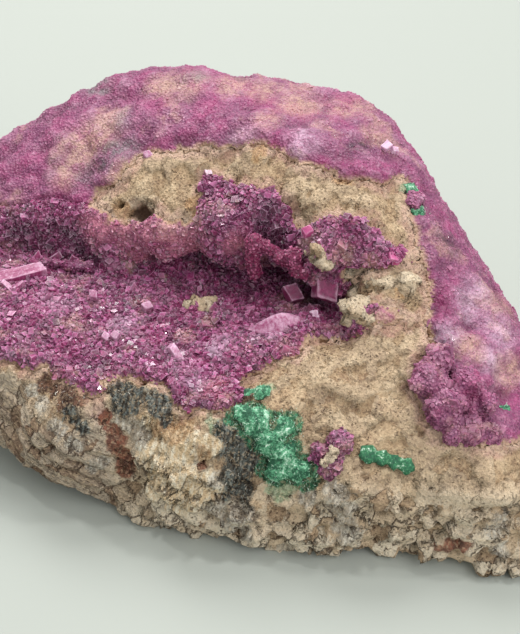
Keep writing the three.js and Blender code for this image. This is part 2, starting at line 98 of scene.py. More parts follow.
# The band's lower edge, as x and height.
BAND_FOOT = [
    (-21, 25.3), (-14, 25.8), (-10, 27.6), (-6, 28), (-4, 29.8), (3, 31.4), (8, 30.4), (13, 32.4),
    (17.5, 31.6), (19.5, 29.4), (21.5, 27.8), (23.5, 26.8),
]
BARE_LEDGE = [
    (14.4, -6), (16.4, -6.6), (18.2, -7), (20.1, -6.4), (21.9, -5.3), (23.4, -5.2), (23.6, -9.2),
    (23.1, -11.2), (19.4, -10.6), (17.6, -9.4), (14.7, -8),
]
LEDGE_FOOT = 22.5
BARE_FRONT = [
    (-60, -6), (-46, -7), (-30.6, -12.1), (-25.6, -13.8), (-22.9, -15.4), (-19.8, -18.4),
    (-17.2, -19.4), (-16.4, -16.8), (-14, -15.8), (-9.6, -16.8), (-7.9, -20.4), (-6, -22.3),
    (-2.5, -22.4), (-0.6, -22.2), (0.7, -19.6), (1.2, -17.7), (0.3, -17.1), (0.8, -16.2), (4.9, -14.6),
    (7.7, -15.6), (8.1, -14.7), (8.8, -12.8), (10.6, -11), (13, -11.7), (17.3, -12.7), (23.2, -12.3),
    (23.9, -14.5), (23.8, -16.3), (22, -17), (21, -19.8), (22, -22.2), (24.4, -24.8), (26.6, -25),
    (30.2, -26.3), (32.7, -25), (34.9, -23.7), (60, -21), (60, -60), (-60, -60),
]
LOWEST_DRUSE = 9  # the outer druse stops about this high
DRUSE_FOOT_WANDER = 3.5  # and higher in places, by up to this
LOWEST_IN_POCKET = 15.4  # and the pocket's here, on the broken front
POCKET_EDGE = 1.1  # width over which the pocket's druse thins out to nothing
RIM_EDGE = 2.2  # and the outer druse
EDGE_WANDER = 0.9  # how far their edges wander from the outlines above
DRUSE_BLEND = 0.6  # how far they pass into one another, either way of where they meet
PINK_DUST = 2.4  # how far pink dust reaches over the bare stone from a druse

# Where some of the marks on the stone fade in, each from the first number to the second. A slope is 1 on a
# level face, 0 on an upright one and -1 on one that looks down.
DRUSE_SLOPE = (-0.75, -0.45)  # a druse grows over this slope
ROOF_HEIGHT = (17, 18)  # and in the pocket also on its roof, over this height
WALL_SLOPE = (0.8, 0.5)  # the stone's layers show on its steep faces
WALL_REACH = (-11, -18)  # left of here
SANDY_SLOPE = (0, 0.7)  # sand lies loose over this slope
SANDY_HEIGHT = (0.6, 1.2)  # and clear of the floor
BALL_EDGE = (0.35, 1.35)  # a stain's ball fades out between these shares of its radius

# Stains of the stone and tints of the druses, as balls: the place of each one's middle, and its radius.
STAINS = {
    "cream": [
        (-10.7, -23.4, 12.5, 2.2), (-7.8, -25.4, 13.3, 3.4), (-8.8, -26.5, 10.5, 3.4),
        (-5.6, -27.5, 11.6, 3.2), (-4.4, -28.2, 9.4, 2.6), (-3.1, -25.4, 15, 1.7),
        (-6.2, -24.6, 15.6, 2), (-10.8, -25.6, 8, 2.2), (-7, -27.6, 7.4, 2.4),
        (-11.6, -22.6, 15.2, 1.6),
    ],
    "ochre": [
        (-10, -22.2, 14.9, 1.3), (-8.4, -22.9, 15.4, 1.8), (-6.8, -23.6, 16, 1.8),
        (-3.7, -25.7, 14.6, 1.2), (-5.8, 5.4, 29.3, 1.6), (-16.2, 8, 27, 1.8), (14, 4, 34.9, 2),
        (3.2, 9.6, 34.4, 1.6), (20.5, -8.6, 25.6, 1.4),
    ],
    "ash": [
        (-27.3, -15.6, 17.1, 1.1), (-26.5, -16.1, 15.1, 1.2), (-24.9, -18, 14.7, 1.5),
        (-22.6, -20.8, 13.7, 1.6), (-20.4, -22.2, 11.6, 1.6), (-18.1, -22.8, 8.6, 1.5),
        (-13.9, -20.8, 14.8, 1.5), (-12.6, -21.7, 13.9, 1.5), (-12, -22.4, 12.9, 1.4),
        (-2.4, -27.4, 11, 1.4), (-2.6, -28.5, 6.7, 1.8), (-0.8, -28.8, 6.2, 2), (1.1, -28.6, 6.9, 1.7),
        (0.5, -29.2, 3.7, 2.2), (3, -26.6, 11.8, 1.4), (12, -29.5, 11.3, 1.8), (12.4, -30.4, 9.1, 2.4),
        (13.3, -30.8, 5.7, 2.2), (8.7, -28.7, 9.9, 1.4), (31.8, -31.5, 7.4, 1.8),
        (32.5, -32.3, 4.1, 1.6),
    ],
    "green": [
        (-3.4, -23.3, 17.8, 1.3), (-2.4, -24, 17.2, 1.4), (5.7, -27.1, 10.7, 2.2),
        (7.8, -27.7, 12.5, 1.5), (3.4, -19.4, 18, 1.4), (22.6, 5.1, 32.5, 1.4),
    ],
    "fibrous": [
        (-24.8, -15.4, 16, 1.3), (-23, -16.6, 16.3, 1.4), (-21.3, -17.7, 16.5, 1.4),
        (-20, -18.6, 16.4, 1.2), (-21.4, -18.8, 16, 1.1),
    ],
    "rust": [
        (-16.4, -19.9, 14.6, 1), (-15.7, -21, 13.2, 1.3), (-15.2, -21.9, 11.8, 1.6),
        (-14.7, -22.1, 10.2, 1.9), (-14.2, -22.4, 8.8, 1.7), (-14.3, -22.6, 7.4, 1.2),
        (-4.8, -24.2, 17, 0.9), (-4, -26.5, 13, 0.8), (26.7, -31.5, 4.1, 1.2), (27.9, -31.7, 4.9, 1.1),
        (25.3, -31.4, 3.6, 0.8),
    ],
    "dark": [
        (-14.6, -17.8, 16.9, 1.9), (-13.2, -18.6, 17, 1.9), (-14.3, -19.6, 16.2, 1.8),
        (-13, -20.2, 16.4, 1.3), (-10.4, -19.2, 17.1, 1.6), (-9.8, -20.2, 16.7, 1.6),
        (-9.6, -21.2, 16.2, 1.4), (-8.9, -22.2, 15.9, 1), (-1.2, -24.2, 16.3, 1.9),
        (0.5, -24.6, 15.7, 2), (1.8, -25, 14.8, 1.8), (-0.3, -25.6, 13.9, 2.2), (1.4, -25.8, 12.7, 2),
        (-0.2, -26.8, 11.4, 2.3), (0.3, -27.4, 9.3, 2), (-1.2, -27.9, 8.9, 1.5),
        (-20.9, -19.6, 15.5, 1), (-20.1, -20.3, 14.8, 1), (-19.4, -20.8, 14.1, 1),
        (-18.8, -21.2, 13.4, 0.9), (23.6, 4.3, 32, 1.3),
    ],
}
TINTS = {
    # Painted shade in the pocket's slit, the groove on the left of the shelf and other recesses.
    "shaded": [
        (-31.2, 10.5, 21, 3.4), (-26.7, 8.6, 20.6, 3.4), (-22.3, 7.4, 20, 3.2), (-25.5, 16.4, 29.5, 3),
        (-19.5, 15.8, 31.5, 3), (17, 9.6, 36.8, 2.6), (24.6, -8.9, 24.4, 2.4), (27.9, -0.7, 27.9, 3),
        (25.4, -15, 22, 3), (6, 5, 21, 4), (12, -5, 20, 4), (4, -1, 30, 3.4), (7.5, -4.5, 29.5, 2.6),
    ],
    "hot": [
        (-16, 24.2, 36, 2.4), (-3.6, 19, 38.4, 3.2), (4.1, 17.6, 38.7, 3.4), (8.5, 16.4, 38.3, 3),
        (-5.2, 10.9, 34.5, 1.8), (1.6, 10.8, 36.9, 3), (-12.5, 20.8, 36.7, 3), (5, 9, 35.6, 2.4),
        (10.1, 5.2, 36.4, 2), (-22, -15, 18, 1.6), (-12.6, -17.4, 18.6, 1.8), (12, -6.5, 19.5, 4),
        (3, -2, 19, 3), (26.4, -9, 25, 2.4), (7, -13.6, 19, 2.4), (-2, -18.5, 18.6, 2.4),
        (20.6, -5, 28.8, 1.2), (9.2, -2.9, 31.9, 1),
    ],
    "pale": [
        (0.7, 10.8, 36.4, 2.6), (8.2, 9.1, 38.6, 3.4), (29.9, -8.1, 23.7, 3), (27.4, -13, 22.9, 2.4),
        (33.7, -10.8, 21, 3.4), (31.5, -6.3, 24, 3), (-6.6, -14.3, 19, 2), (-7.9, -12.3, 18.9, 2),
        (-4.9, -17.3, 19.2, 2), (-15, -6, 19, 3), (-24.1, -2.4, 19.2, 2.6), (3.6, -9.4, 20.6, 3),
        (-2.4, -11, 19, 2), (-29.9, -12.5, 17.9, 1.4), (-27, -14, 18.4, 1.4), (-24.3, -15.4, 18.2, 1.4),
        (-22.7, -17.6, 17.8, 1.2), (24.6, -19.6, 21.8, 1.4), (26.6, -22, 19.8, 1.4),
        (31.8, -15, 19.4, 2.4),
    ],
    "rose": [
        (-19.5, 7.5, 24.6, 3.2), (-16, 5.6, 24.6, 3.4), (-13, 3.6, 26, 3.4), (-9.6, 2.4, 26, 3.6),
        (-6.6, 2.2, 25, 3.4), (-3.4, -1.6, 28, 2.2), (-0.6, -0.6, 27, 2.2), (-11.8, 5.6, 22, 3.4),
        (-7, 4, 22, 3),
    ],
    "dusty": [
        (-20.5, 19.4, 32.6, 4.2), (-23.4, 18.2, 30.9, 4.4), (-25.3, 14.8, 28.8, 3),
        (-11.3, 24.8, 38, 3.4), (-0.6, 22.7, 38.8, 3.4), (3.3, 21.5, 38.8, 3.2), (8.5, 18.7, 38.3, 4),
        (14.7, 17.9, 39, 4), (17.6, 19, 37.6, 3), (-11.2, 16, 34.9, 1.8), (4, 13.4, 38.6, 2.6),
        (11.8, 13.9, 38.2, 1.8), (18.9, 13.1, 36.3, 2.6), (20.8, 3.9, 32.3, 2), (-7.7, 23.7, 39, 4),
        (-16.3, 12.7, 29.7, 1.6), (35.6, -5.4, 21.6, 3), (-9, 3, 28, 2.4), (29.2, -14.6, 20.6, 2.4),
        (34.4, -14.6, 17.4, 2.6), (13.6, -5.4, 29.4, 1.8), (17, -6.2, 28.6, 1.6),
        (18.7, -11.8, 23.7, 2.2),
    ],
    "grey": [
        (-20.5, 29.7, 33.4, 2.4), (-5.9, 25.2, 39, 2.6), (-16.9, 20.1, 34.6, 2.6), (23.5, 4.5, 32, 1.6),
        (16, 3.5, 35.1, 1.2), (-22.4, 13.2, 29.8, 3), (-16.9, 15.2, 32, 3), (34.8, -7, 22, 1.8),
        (42, -5.6, 17, 3),
    ],
}
# Small holes in the stone, as balls too, and the film of malachite.
PITS = [
    (-11.1, -24.1, 9.4, 0.6), (-3.9, -26.5, 13.3, 0.35), (-4.6, -26.5, 13, 0.35),
    (-9.4, -23.3, 14, 0.4), (18, -30.5, 7.8, 1), (17.2, -30.4, 8.3, 0.6), (-13.4, 7.5, 26.4, 1.3),
    (-12.3, 6.6, 26.7, 1), (-14.4, 7.9, 26.3, 0.7), (-16.6, 9, 27, 0.6), (-15.2, 7.4, 26.3, 0.45),
    (-11.4, 6, 26.9, 0.5), (-13, 8.6, 27, 0.6), (-12.7, 9.5, 27.5, 0.4),
]
FILM = 1.3  # how far malachite spreads thinly over the stone around its largest growth

# Where the pocket's crystals are all fine, and where the outer druse has larger ones.
FINE_PLACES = TINTS["rose"]
COARSE_PLACES = [
    (25.6, -9, 25, 4), (27.6, -13, 22.6, 4), (26.6, -18, 21, 3.4), (31, -11, 23, 4), (20, 5.4, 34.6, 2),
    (21.6, 9.4, 35, 1.8), (-12, 31, 24, 8), (-30, 27, 20, 7), (10, 29, 18, 6), (26, 17, 20, 7),
    (38, 4, 10, 5), (-40, 22, 16, 5),
]


def layer(shape, spacing, smallest, largest, seed, follow=0.0):
    """A layer of small shapes on a surface, as inputs of the tree that scatters them.

    It has the least distance between two of them, the edges of the smallest and the largest, and how far
    the layer keeps to the coarse places.
    """
    sizes = {"Spacing": spacing, "Smallest": smallest, "Largest": largest}
    return {"Shape": shape, **sizes, "Follow": follow, "Seed": seed}


POCKET_LAYERS = [
    layer("rhomb", 0.4, 0.3, 0.6, seed=3),
    layer("bar", 0.95, 0.3, 0.65, seed=11, follow=0.7),
    layer("rhomb", 0.9, 0.5, 0.95, seed=4, follow=0.85),
    layer("rhomb", 2.8, 0.9, 1.35, seed=5, follow=1.0),
]
RIM_LAYERS = [
    layer("rhomb", 0.46, 0.3, 0.55, seed=6),
    layer("rhomb", 1.2, 0.5, 1.0, seed=7, follow=0.95),
    layer("rhomb", 3, 0.9, 1.4, seed=8, follow=1.0),
]
KNOB_LAYERS = [
    layer("rhomb", 0.36, 0.28, 0.5, seed=9),
    layer("rhomb", 1.3, 0.5, 0.9, seed=10),
]
CURLED_LAYERS = [layer("rhomb", 0.34, 0.2, 0.36, seed=14)]
LOOSE_SAND = layer("grain", 0.4, 0.2, 0.46, seed=12)
HAIRS = layer("fibre", 0.3, 0.25, 0.55, seed=13)
MALACHITE_PILE = layer("fibre", 0.24, 0.25, 0.55, seed=21)
MALACHITE_STUBBLE = layer("fibre", 0.3, 0.15, 0.3, seed=22)

RHOMB_ANGLE = 102  # a dolomite rhomb's faces at its blunt corner, in degrees
CORNER_WARP = 0.15  # how far a crystal's corners stray, as a share of its edges
NOISE_SEED = 1  # for the way that they stray

# The small shapes that the layers copy: the edges of each kind of rhomb, and how many there are of each.
SMALL_RHOMBS = {"rhomb": ((1, 1, 1), 5), "bar": ((2.2, 0.7, 0.9), 3)}
GRAINS = 3

# Single large crystals, the deep ones and the hot pink ones: the place of each one's blunt front corner, the
# way its front faces, the turn of its first edge on that front in degrees, its edges, and how pale it is.
LARGE_CRYSTALS = {
    "slit_rhomb": ((10.1, -6.7, 23.4), (-0.15, -0.86, 0.5), -12, (3, 4.4, 2.6), 0.36),
    "slit_rhomb_small": ((7.1, -4.7, 20.8), (0.1, -0.8, 0.6), 12, (1.9, 2.4, 1.8), 0.36),
    "slit_plate": ((9.6, -7.9, 20.6), (-0.3, -0.7, 0.65), 20, (1.2, 1.1, 0.9), 0.8),
    "raspberry_left": ((12.5, -8.9, 20.3), (-0.2, -0.75, 0.6), -58, (2.6, 1.3, 1.3), 0.25),
    "raspberry_right": ((14.6, -10.6, 20.4), (0.2, -0.8, 0.6), 10, (1.9, 1.2, 1.3), 0.2),
    "shelf_blade": ((-34.8, 2, 18.1), (0, -0.3, 0.95), 18, (8.2, 2.3, 0.9), 0.52),
    "shelf_bar_left": ((-33, 2.2, 18.7), (0, -0.35, 0.94), -45, (2, 0.6, 0.7), 0.65),
    "shelf_bar_right": ((-30.9, 0.7, 18.7), (0, -0.35, 0.94), 42, (1.7, 0.5, 0.7), 0.6),
    "pale_shelf": ((-12.6, -3.4, 18.5), (0.1, -0.5, 0.85), 14, (1.2, 1, 1.1), 0.65),
    "pale_shelf_left": ((-17.8, -9.6, 19), (-0.1, -0.5, 0.85), -30, (1, 0.9, 1), 0.65),
    "pale_shelf_right": ((-15.9, -10, 19), (0.1, -0.6, 0.8), 40, (1, 0.9, 1), 0.65),
    "pale_shelf_back": ((-20.2, -1.6, 19.2), (-0.1, -0.5, 0.85), 5, (1, 1, 1), 0.62),
    "pale_shelf_bar": ((-8.8, -11.8, 19.1), (0.1, -0.5, 0.85), -66, (3.4, 0.9, 1), 0.68),
    "pale_bank": ((-12.9, 13.2, 31.9), (0, -0.6, 0.8), 20, (1.1, 1, 1), 0.62),
    "rim_clear": ((19.9, 10, 35.2), (0.1, -0.7, 0.7), 35, (1.2, 0.9, 0.8), 0.9),
    "rim_clear_small": ((20.9, 10.1, 34.9), (0.3, -0.6, 0.7), -20, (0.9, 0.7, 0.7), 0.85),
    "tooth_left": ((-29.5, 7.9, 18.8), (-0.3, -0.7, 0.6), -40, (1.5, 1.2, 1), 0.42),
    "tooth_middle": ((-26.9, 7.2, 19), (0.1, -0.8, 0.5), -62, (1.2, 1.7, 1), 0.3),
    "tooth_right": ((-24.1, 6.5, 19.2), (-0.35, -0.8, 0.4), -30, (1.6, 1.1, 1), 0.3),
}
HOT_CRYSTALS = {
    "bright_pink": ((19.5, -6.5, 29.2), (0.3, -0.5, 0.8), -24, (1.7, 1.4, 1.6), 0.5),
    "hot_pink": ((8.6, -3.7, 31), (-0.2, -0.6, 0.8), 38, (1.3, 1, 1.2), 0.1),
}
EDGE_ROUNDING = 0.14
FACE_CUTS = 6  # how finely a large crystal's faces are cut up
FACE_DEPTH = 0.12  # and how uneven they are

# A curved crystal that stands on the shelf like half a lens, fluted on its front: its middle, the way it
# faces, half its length, its height and its thickness.
LENS_CRYSTAL = ((5.9, -8.9, 19.9), (0.05, -0.7, 0.71), 5, 1.9, 1.3)
LENS_ROUND = 64  # its faces around
LENS_RINGS = 40  # and from pole to pole
FLUTES = 38  # radians of their wave from its middle to its end
FLUTE_DEPTH = 0.18

# Lumps, each the place of its middle and its radius: sandy stone in the pocket's mouth and in the druse,
# knobs of the outer druse, curled ones with a hanging finger along the pocket's lip, and a row on the shelf.
SAND_LUMPS = [
    (15.3, -10, 23.8, 1.9), (16.6, -10.2, 23.2, 1.7), (14.8, -10.4, 22.6, 1.3), (10.2, -4.9, 29.4, 1.3),
    (11.2, -5.6, 28.4, 1.2), (-4.4, -2.1, 18.3, 1.1), (-5.8, -1.5, 18.1, 1), (-3.4, -1.6, 18.4, 0.8),
    (-5, -2.9, 18, 0.8), (-6.8, -2, 18, 0.7), (18.4, -7.2, 25, 2), (21.4, -7.4, 25.6, 1.8),
    (11.3, -27.2, 15.2, 0.6), (11.8, -26.6, 15.7, 0.5), (10.6, -27.6, 14.6, 0.5),
]
RIM_KNOBS = [
    (23.5, -19.8, 20.7, 2.2), (25.4, -22.6, 18.7, 2.3), (28.3, -24, 16.3, 1.8), (24.9, -17.6, 22, 1.8),
    (27.8, -20, 20.4, 1.9), (31.4, -23.8, 15.4, 1.4), (26.2, -24.9, 16.4, 1.2),
    (30.6, -21.4, 18.4, 1.5), (28.9, -20.9, 17.6, 1.7), (23.3, 3.4, 31.3, 1.3),
]
LIP_LUMPS = [
    (2.2, -2, 28.6, 1.15), (2.1, -2.2, 27.6, 1.1), (2.1, -2.3, 26.6, 1.05), (2.1, -2.4, 25.6, 1),
    (2.2, -2.5, 24.7, 0.95), (2.3, -2.5, 23.9, 0.85), (3.4, -2.3, 28.4, 0.9), (4.4, -2.7, 27.8, 0.9),
    (5.3, -3, 27, 0.9), (7.2, -3.8, 27.2, 1.4), (7.5, -4.2, 25.9, 1.1), (6.3, -3.2, 26.2, 0.8),
    (8.6, -4.8, 25.6, 0.8),
]
SHELF_LUMPS = [
    (-29.2, 6.9, 18.3, 0.9), (-27.6, 6.7, 18.6, 1), (-26, 6.4, 18.7, 0.9), (-24.4, 6, 18.8, 1),
    (-22.8, 5.6, 18.9, 1), (-21.2, 5.4, 19, 0.9),
]

# The camera looks to the back, and down by its elevation in degrees. It sees nothing nearer than the last.
LENS = 62
SENSOR = 36
LOOKS_AT = Vector((2.9, -8.1, 21))
CAMERA_DISTANCE = 142
CAMERA_ELEVATION = 40
NEAREST_SEEN = 10

# The sky's strength, and the square lights: each one's place and size in metres, and its power.
SKY = 0.84
LIGHTS = {
    "window": ((-0.1, 0.4, 0.56), 0.34, 3.9),
    "fill": ((0.34, -0.3, 0.45), 0.5, 2.2),
    "lamp": ((0.3, 0.1, 0.6), 0.06, 0.9),
    "second_lamp": ((-0.2, 0.12, 0.6), 0.05, 0.7),
}
FLOOR_REACH = 3  # metres

# ---- Node trees ----


def operator(operation):
    """The method that adds a Math node of an operation, and its reflected form."""

    def plain(signal, other):
        return signal.tree.maths(operation, signal, other)

    def reflected(signal, other):
        return signal.tree.maths(operation, other, signal)

    return plain, reflected


class Signal:
    """A socket's value. Arithmetic on it adds Math nodes, or Vector Math nodes for vectors."""

    __add__, __radd__ = operator("ADD")
    __sub__, __rsub__ = operator("SUBTRACT")
    __mul__, __rmul__ = operator("MULTIPLY")
    __truediv__, __rtruediv__ = operator("DIVIDE")
    __pow__, __rpow__ = operator("POWER")

    def __init__(self, tree, socket):
        self.tree = tree
        self.socket = socket

    @property
    def is_vector(self):
        return self.socket.type == "VECTOR"


class Placed:
    """A node in a tree, whose outputs are signals."""

    def __init__(self, tree, node):
        self.tree = tree
        self.node = node

    def __getitem__(self, name):
        return Signal(self.tree, next(out for out in self.node.outputs if out.enabled and out.name == name))


def is_vector(value):
    return value.is_vector if isinstance(value, Signal) else isinstance(value, (tuple, Vector))


def set_stops(ramp, stops):
    """Gives a colour ramp its stops, each a place and a colour."""
    while len(ramp.elements) < len(stops):
        ramp.elements.new(1)
    for element, (place, paint) in zip(ramp.elements, stops):
        element.position = place
        element.color = paint


class Tree:
    """A node tree that is built from expressions."""

    def __init__(self, nodes):
        self.nodes = nodes

    def plug(self, socket, value):
        """Links a signal to a socket, or sets the socket's own value."""
        if isinstance(value, Signal):
            self.nodes.links.new(value.socket, socket)
        elif socket.type == "VECTOR" and not is_vector(value):
            socket.default_value = (value, value, value)
        else:
            socket.default_value = value

    def node(self, kind, inputs=None, **settings):
        """Adds a node of a kind with its settings, a ramp's stops among them, and then plugs its inputs."""
        node = self.nodes.nodes.new(kind)
        for name, setting in settings.items():
            if name == "stops":
                set_stops(node.color_ramp, setting)
            else:
                setattr(node, name, setting)
        for name, value in (inputs or {}).items():
            socket = next(socket for socket in node.inputs if socket.enabled and socket.name == name)
            for one in value if isinstance(value, list) else [value]:
                self.plug(socket, one)
        return Placed(self, node)

    def maths(self, operation, *values):
        """A Math node, or a Vector Math node where a value is a vector."""
        on_vectors = any(is_vector(value) for value in values)
        node = self.nodes.nodes.new("ShaderNodeVectorMath" if on_vectors else "ShaderNodeMath")
        node.operation = operation
        for socket, value in zip(node.inputs, values):
            self.plug(socket, value)
        return Signal(self, next(out for out in node.outputs if out.enabled))

    def dot(self, a, b):
        return self.maths("DOT_PRODUCT", a, b)

    def least(self, a, b):
        return self.maths("MINIMUM", a, b)

    def most(self, a, b):
        return self.maths("MAXIMUM", a, b)

    def fraction(self, value):
        return self.maths("FRACT", value)

    def parts(self, vector):
        """A vector's x, y and z."""
        split = self.node("ShaderNodeSeparateXYZ", {"Vector": vector})
        return split["X"], split["Y"], split["Z"]

    def whole(self, x, y, z):
        """A vector of its x, y and z."""
        return self.node("ShaderNodeCombineXYZ", {"X": x, "Y": y, "Z": z})["Vector"]

    def rise(self, value, low, high):
        """0 up to low, 1 from high on and a smooth rise between them, or a fall where low is over high."""
        ends = {"Value": value, "From Min": low, "From Max": high}
        return self.node("ShaderNodeMapRange", ends, interpolation_type="SMOOTHSTEP")["Result"]

    def noise(self, place, length, detail=3.0, roughness=0.55, seed=0.0):
        """Cloudy noise from 0 to 1 in waves of about `length`."""
        moved = place + (seed * 17.3, seed * 5.1, seed * 9.7) if seed else place
        inputs = {"Vector": moved, "Scale": 1 / length, "Detail": detail, "Roughness": roughness}
        return self.node("ShaderNodeTexNoise", inputs)["Fac"]

    def wander(self, place, length, reach, detail=3.0, roughness=0.55, seed=0.0):
        """The same noise about 0, up to half of `reach` either way."""
        return (self.noise(place, length, detail, roughness, seed) - 0.5) * reach

    def cells(self, place, length, feature="F1"):
        """Cells of about `length`: the distance to their middles or their edges, and a colour for each."""
        return self.node("ShaderNodeTexVoronoi", {"Vector": place, "Scale": 1 / length}, feature=feature)

    def lot(self, cells):
        """A number from 0 to 1 for each cell."""
        return self.parts(cells["Color"])[0]

    def ramp(self, value, *stops):
        """A colour from stops, each a value and a colour."""
        return self.node("ShaderNodeValToRGB", {"Fac": value}, stops=stops)["Color"]

    def mix(self, factor, a, b):
        """From colour a, at factor 0, to colour b."""
        return self.node("ShaderNodeMix", {"Factor": factor, "A": a, "B": b}, data_type="RGBA")["Result"]

    def washed(self, base, *washes):
        """A colour under washes: each a value, where it rises from and to, its strength and its colour."""
        for value, low, high, strength, paint in washes:
            base = self.mix(self.rise(value, low, high) * strength, base, paint)
        return base


class Shaping(Tree):
    """A Geometry Nodes tree with named inputs, which ends in Realize Instances and Set Material."""

    def __init__(self, name):
        super().__init__(bpy.data.node_groups.new(name, "GeometryNodeTree"))
        self.nodes.interface.new_socket("Geometry", in_out="OUTPUT", socket_type="NodeSocketGeometry")
        self.entry = self.nodes.nodes.new("NodeGroupInput")
        self.surface = self.input("Surface", "Geometry")
        self.material = self.input("Material", "Material")

    def input(self, name, kind="Float"):
        self.nodes.interface.new_socket(name, in_out="INPUT", socket_type="NodeSocket" + kind)
        return Signal(self, self.entry.outputs[name])

    def inputs(self, *names):
        return [self.input(name) for name in names]

    def attribute(self, name, kind="FLOAT"):
        return self.node("GeometryNodeInputNamedAttribute", {"Name": name}, data_type=kind)["Attribute"]

    def store(self, geometry, name, value, kind="FLOAT"):
        inputs = {"Geometry": geometry, "Name": name, "Value": value}
        settings = {"data_type": kind, "domain": "POINT"}
        return self.node("GeometryNodeStoreNamedAttribute", inputs, **settings)["Geometry"]

    def place(self):
        """Each point's place in millimetres."""
        return self.node("GeometryNodeInputPosition")["Position"] / MM

    def normal(self):
        return self.node("GeometryNodeInputNormal")["Normal"]

    def moved(self, geometry, offset):
        """Geometry moved by an offset in millimetres."""
        return self.node("GeometryNodeSetPosition", {"Geometry": geometry, "Offset": offset * MM})["Geometry"]

    def over_floor(self, geometry):
        """Geometry with nothing lower than the floor."""
        x, y, z = self.parts(self.place())
        inputs = {"Geometry": geometry, "Position": self.whole(x, y, self.most(z, 0.0)) * MM}
        return self.node("GeometryNodeSetPosition", inputs)["Geometry"]

    def chance(self, low, high, seed):
        """A random number for each element."""
        inputs = {"Min": low, "Max": high, "Seed": seed}
        return self.node("FunctionNodeRandomValue", inputs, data_type="FLOAT")["Value"]

    def joined(self, *parts):
        return self.node("GeometryNodeJoinGeometry", {"Geometry": list(parts)})["Geometry"]

    def finish(self, geometry, smooth):
        """Realizes what is instanced, and gives it its shading and its material."""
        solid = self.node("GeometryNodeRealizeInstances", {"Geometry": geometry})["Geometry"]
        inputs = {"Geometry": solid, "Shade Smooth": smooth}
        shaded = self.node("GeometryNodeSetShadeSmooth", inputs)["Geometry"]
        inputs = {"Geometry": shaded, "Material": self.material}
        coated = self.node("GeometryNodeSetMaterial", inputs)["Geometry"]
        self.plug(self.nodes.nodes.new("NodeGroupOutput").inputs["Geometry"], coated)
        return self.nodes


class Finish(Tree):
    """A material. Its patterns are in millimetres on Object coordinates."""

    def __init__(self, name):
        self.material = bpy.data.materials.new(name)
        self.material.use_nodes = True
        super().__init__(self.material.node_tree)
        self.shader = self.nodes.nodes["Principled BSDF"]

    def place(self):
        return self.node("ShaderNodeTexCoord")["Object"] / MM

    def attribute(self, name):
        return self.node("ShaderNodeAttribute", attribute_name=name)["Fac"]

    def bump(self, height, depth):
        """A normal for a height from 0 to 1 that stands for `depth` millimetres."""
        return self.node("ShaderNodeBump", {"Height": height, "Distance": depth * MM})["Normal"]

    def finish(self, **sockets):
        """Sets the shader's sockets, with _ for a space in their names, and gives the material."""
        for name, value in sockets.items():
            self.plug(self.shader.inputs[name.replace("_", " ")], value)
        return self.material


def colour(red, green, blue):
    """A linear colour from its 8-bit screen values."""
    linear = []
    for share in (red / 255, green / 255, blue / 255):
        linear.append(share / 12.92 if share <= 0.04045 else ((share + 0.055) / 1.055) ** 2.4)
    return (*linear, 1)


# ---- Patterns of the stone, for its relief and its colours ----


def strata(tree, place):
    """The stone's layers: a height across them that wanders a little."""
    x, _, z = tree.parts(place)
    return z + tree.least(x, 0.0) * DIP + tree.wander(place, 10, 3)


def striae(tree, place):
    """Noise drawn out along the stone's layers, with fine lines across them."""
    x, y, _ = tree.parts(place)
    return tree.noise(tree.whole(x / 5, y / 5, strata(tree, place) * 1.3), 1.0, 4, 0.65)


def fibres(tree, place):
    """Noise drawn out along steep short fibres."""
    x, y, z = tree.parts(place)
    return tree.noise(tree.whole(x * 2.2 - z * 0.6, y * 0.8, z * 0.5), 1.0, 4, 0.65, seed=6)


def pores(tree, place, size, patch):
    """The small ragged holes of sandy stone, 1 inside them, which come in patches."""
    warped = place + tree.wander(place, size * 0.8, size * 1.4, 2)
    holes = tree.rise(tree.cells(warped, size)["Distance"], 0.3, 0.14)
    return holes * tree.rise(tree.noise(place, patch, 3, seed=3 + size), 0.46, 0.62)


def crumbs(tree, place):
    """Broken blocks: a number for each block, and 1 along the crevices that some have between them."""
    broken = place + tree.wander(place, 1.3, CRUMB_SIZE, 4, 0.7)
    to_edge = tree.cells(broken, CRUMB_SIZE, "DISTANCE_TO_EDGE")["Distance"]
    open_ones = tree.rise(tree.noise(place, 3.2, 3, seed=7), 0.44, 0.56)
    return tree.lot(tree.cells(broken, CRUMB_SIZE)), tree.rise(to_edge, 0.06, 0.0) * open_ones


# ---- Materials ----

SAND_PALE = colour(232, 218, 194)
SAND_LIGHT = colour(210, 184, 150)
# Painted light on the stone's broken faces.
SAND_PAINTED_LIGHT = colour(224, 200, 168)
SAND = colour(178, 149, 117)
SAND_BROWN = colour(138, 106, 80)
WALL_DARK = colour(98, 84, 72)
WALL_GREY = colour(142, 121, 103)
WALL_LIGHT = colour(184, 164, 142)
# Dark brown: painted shade in the stone's holes, and its dark seams.
HOLE_SHADE = colour(72, 48, 34)

# Near black plum: painted shade in the druses' recesses.
PAINTED_SHADE_PLUM = colour(46, 10, 34)
DEEP = colour(70, 20, 48)
RASPBERRY = colour(140, 44, 94)
HOT = colour(160, 40, 104)
BRIGHT = colour(196, 84, 140)
MAUVE = colour(176, 92, 142)
PLUM = colour(112, 50, 88)
ROSE = colour(154, 88, 118)
LAVENDER = colour(192, 148, 170)
LILAC = colour(222, 188, 210)
DUST = colour(192, 154, 136)
DUSTY_ROSE = colour(202, 128, 146)
SLATE = colour(112, 110, 110)
WINE = colour(84, 22, 54)
CLARET = colour(142, 48, 88)
BLUSH = colour(190, 108, 144)

MALACHITE_DARK = colour(22, 80, 54)
MALACHITE_DEEP = colour(48, 122, 78)
MALACHITE_MID = colour(92, 164, 122)
MALACHITE_PALE = colour(222, 240, 224)

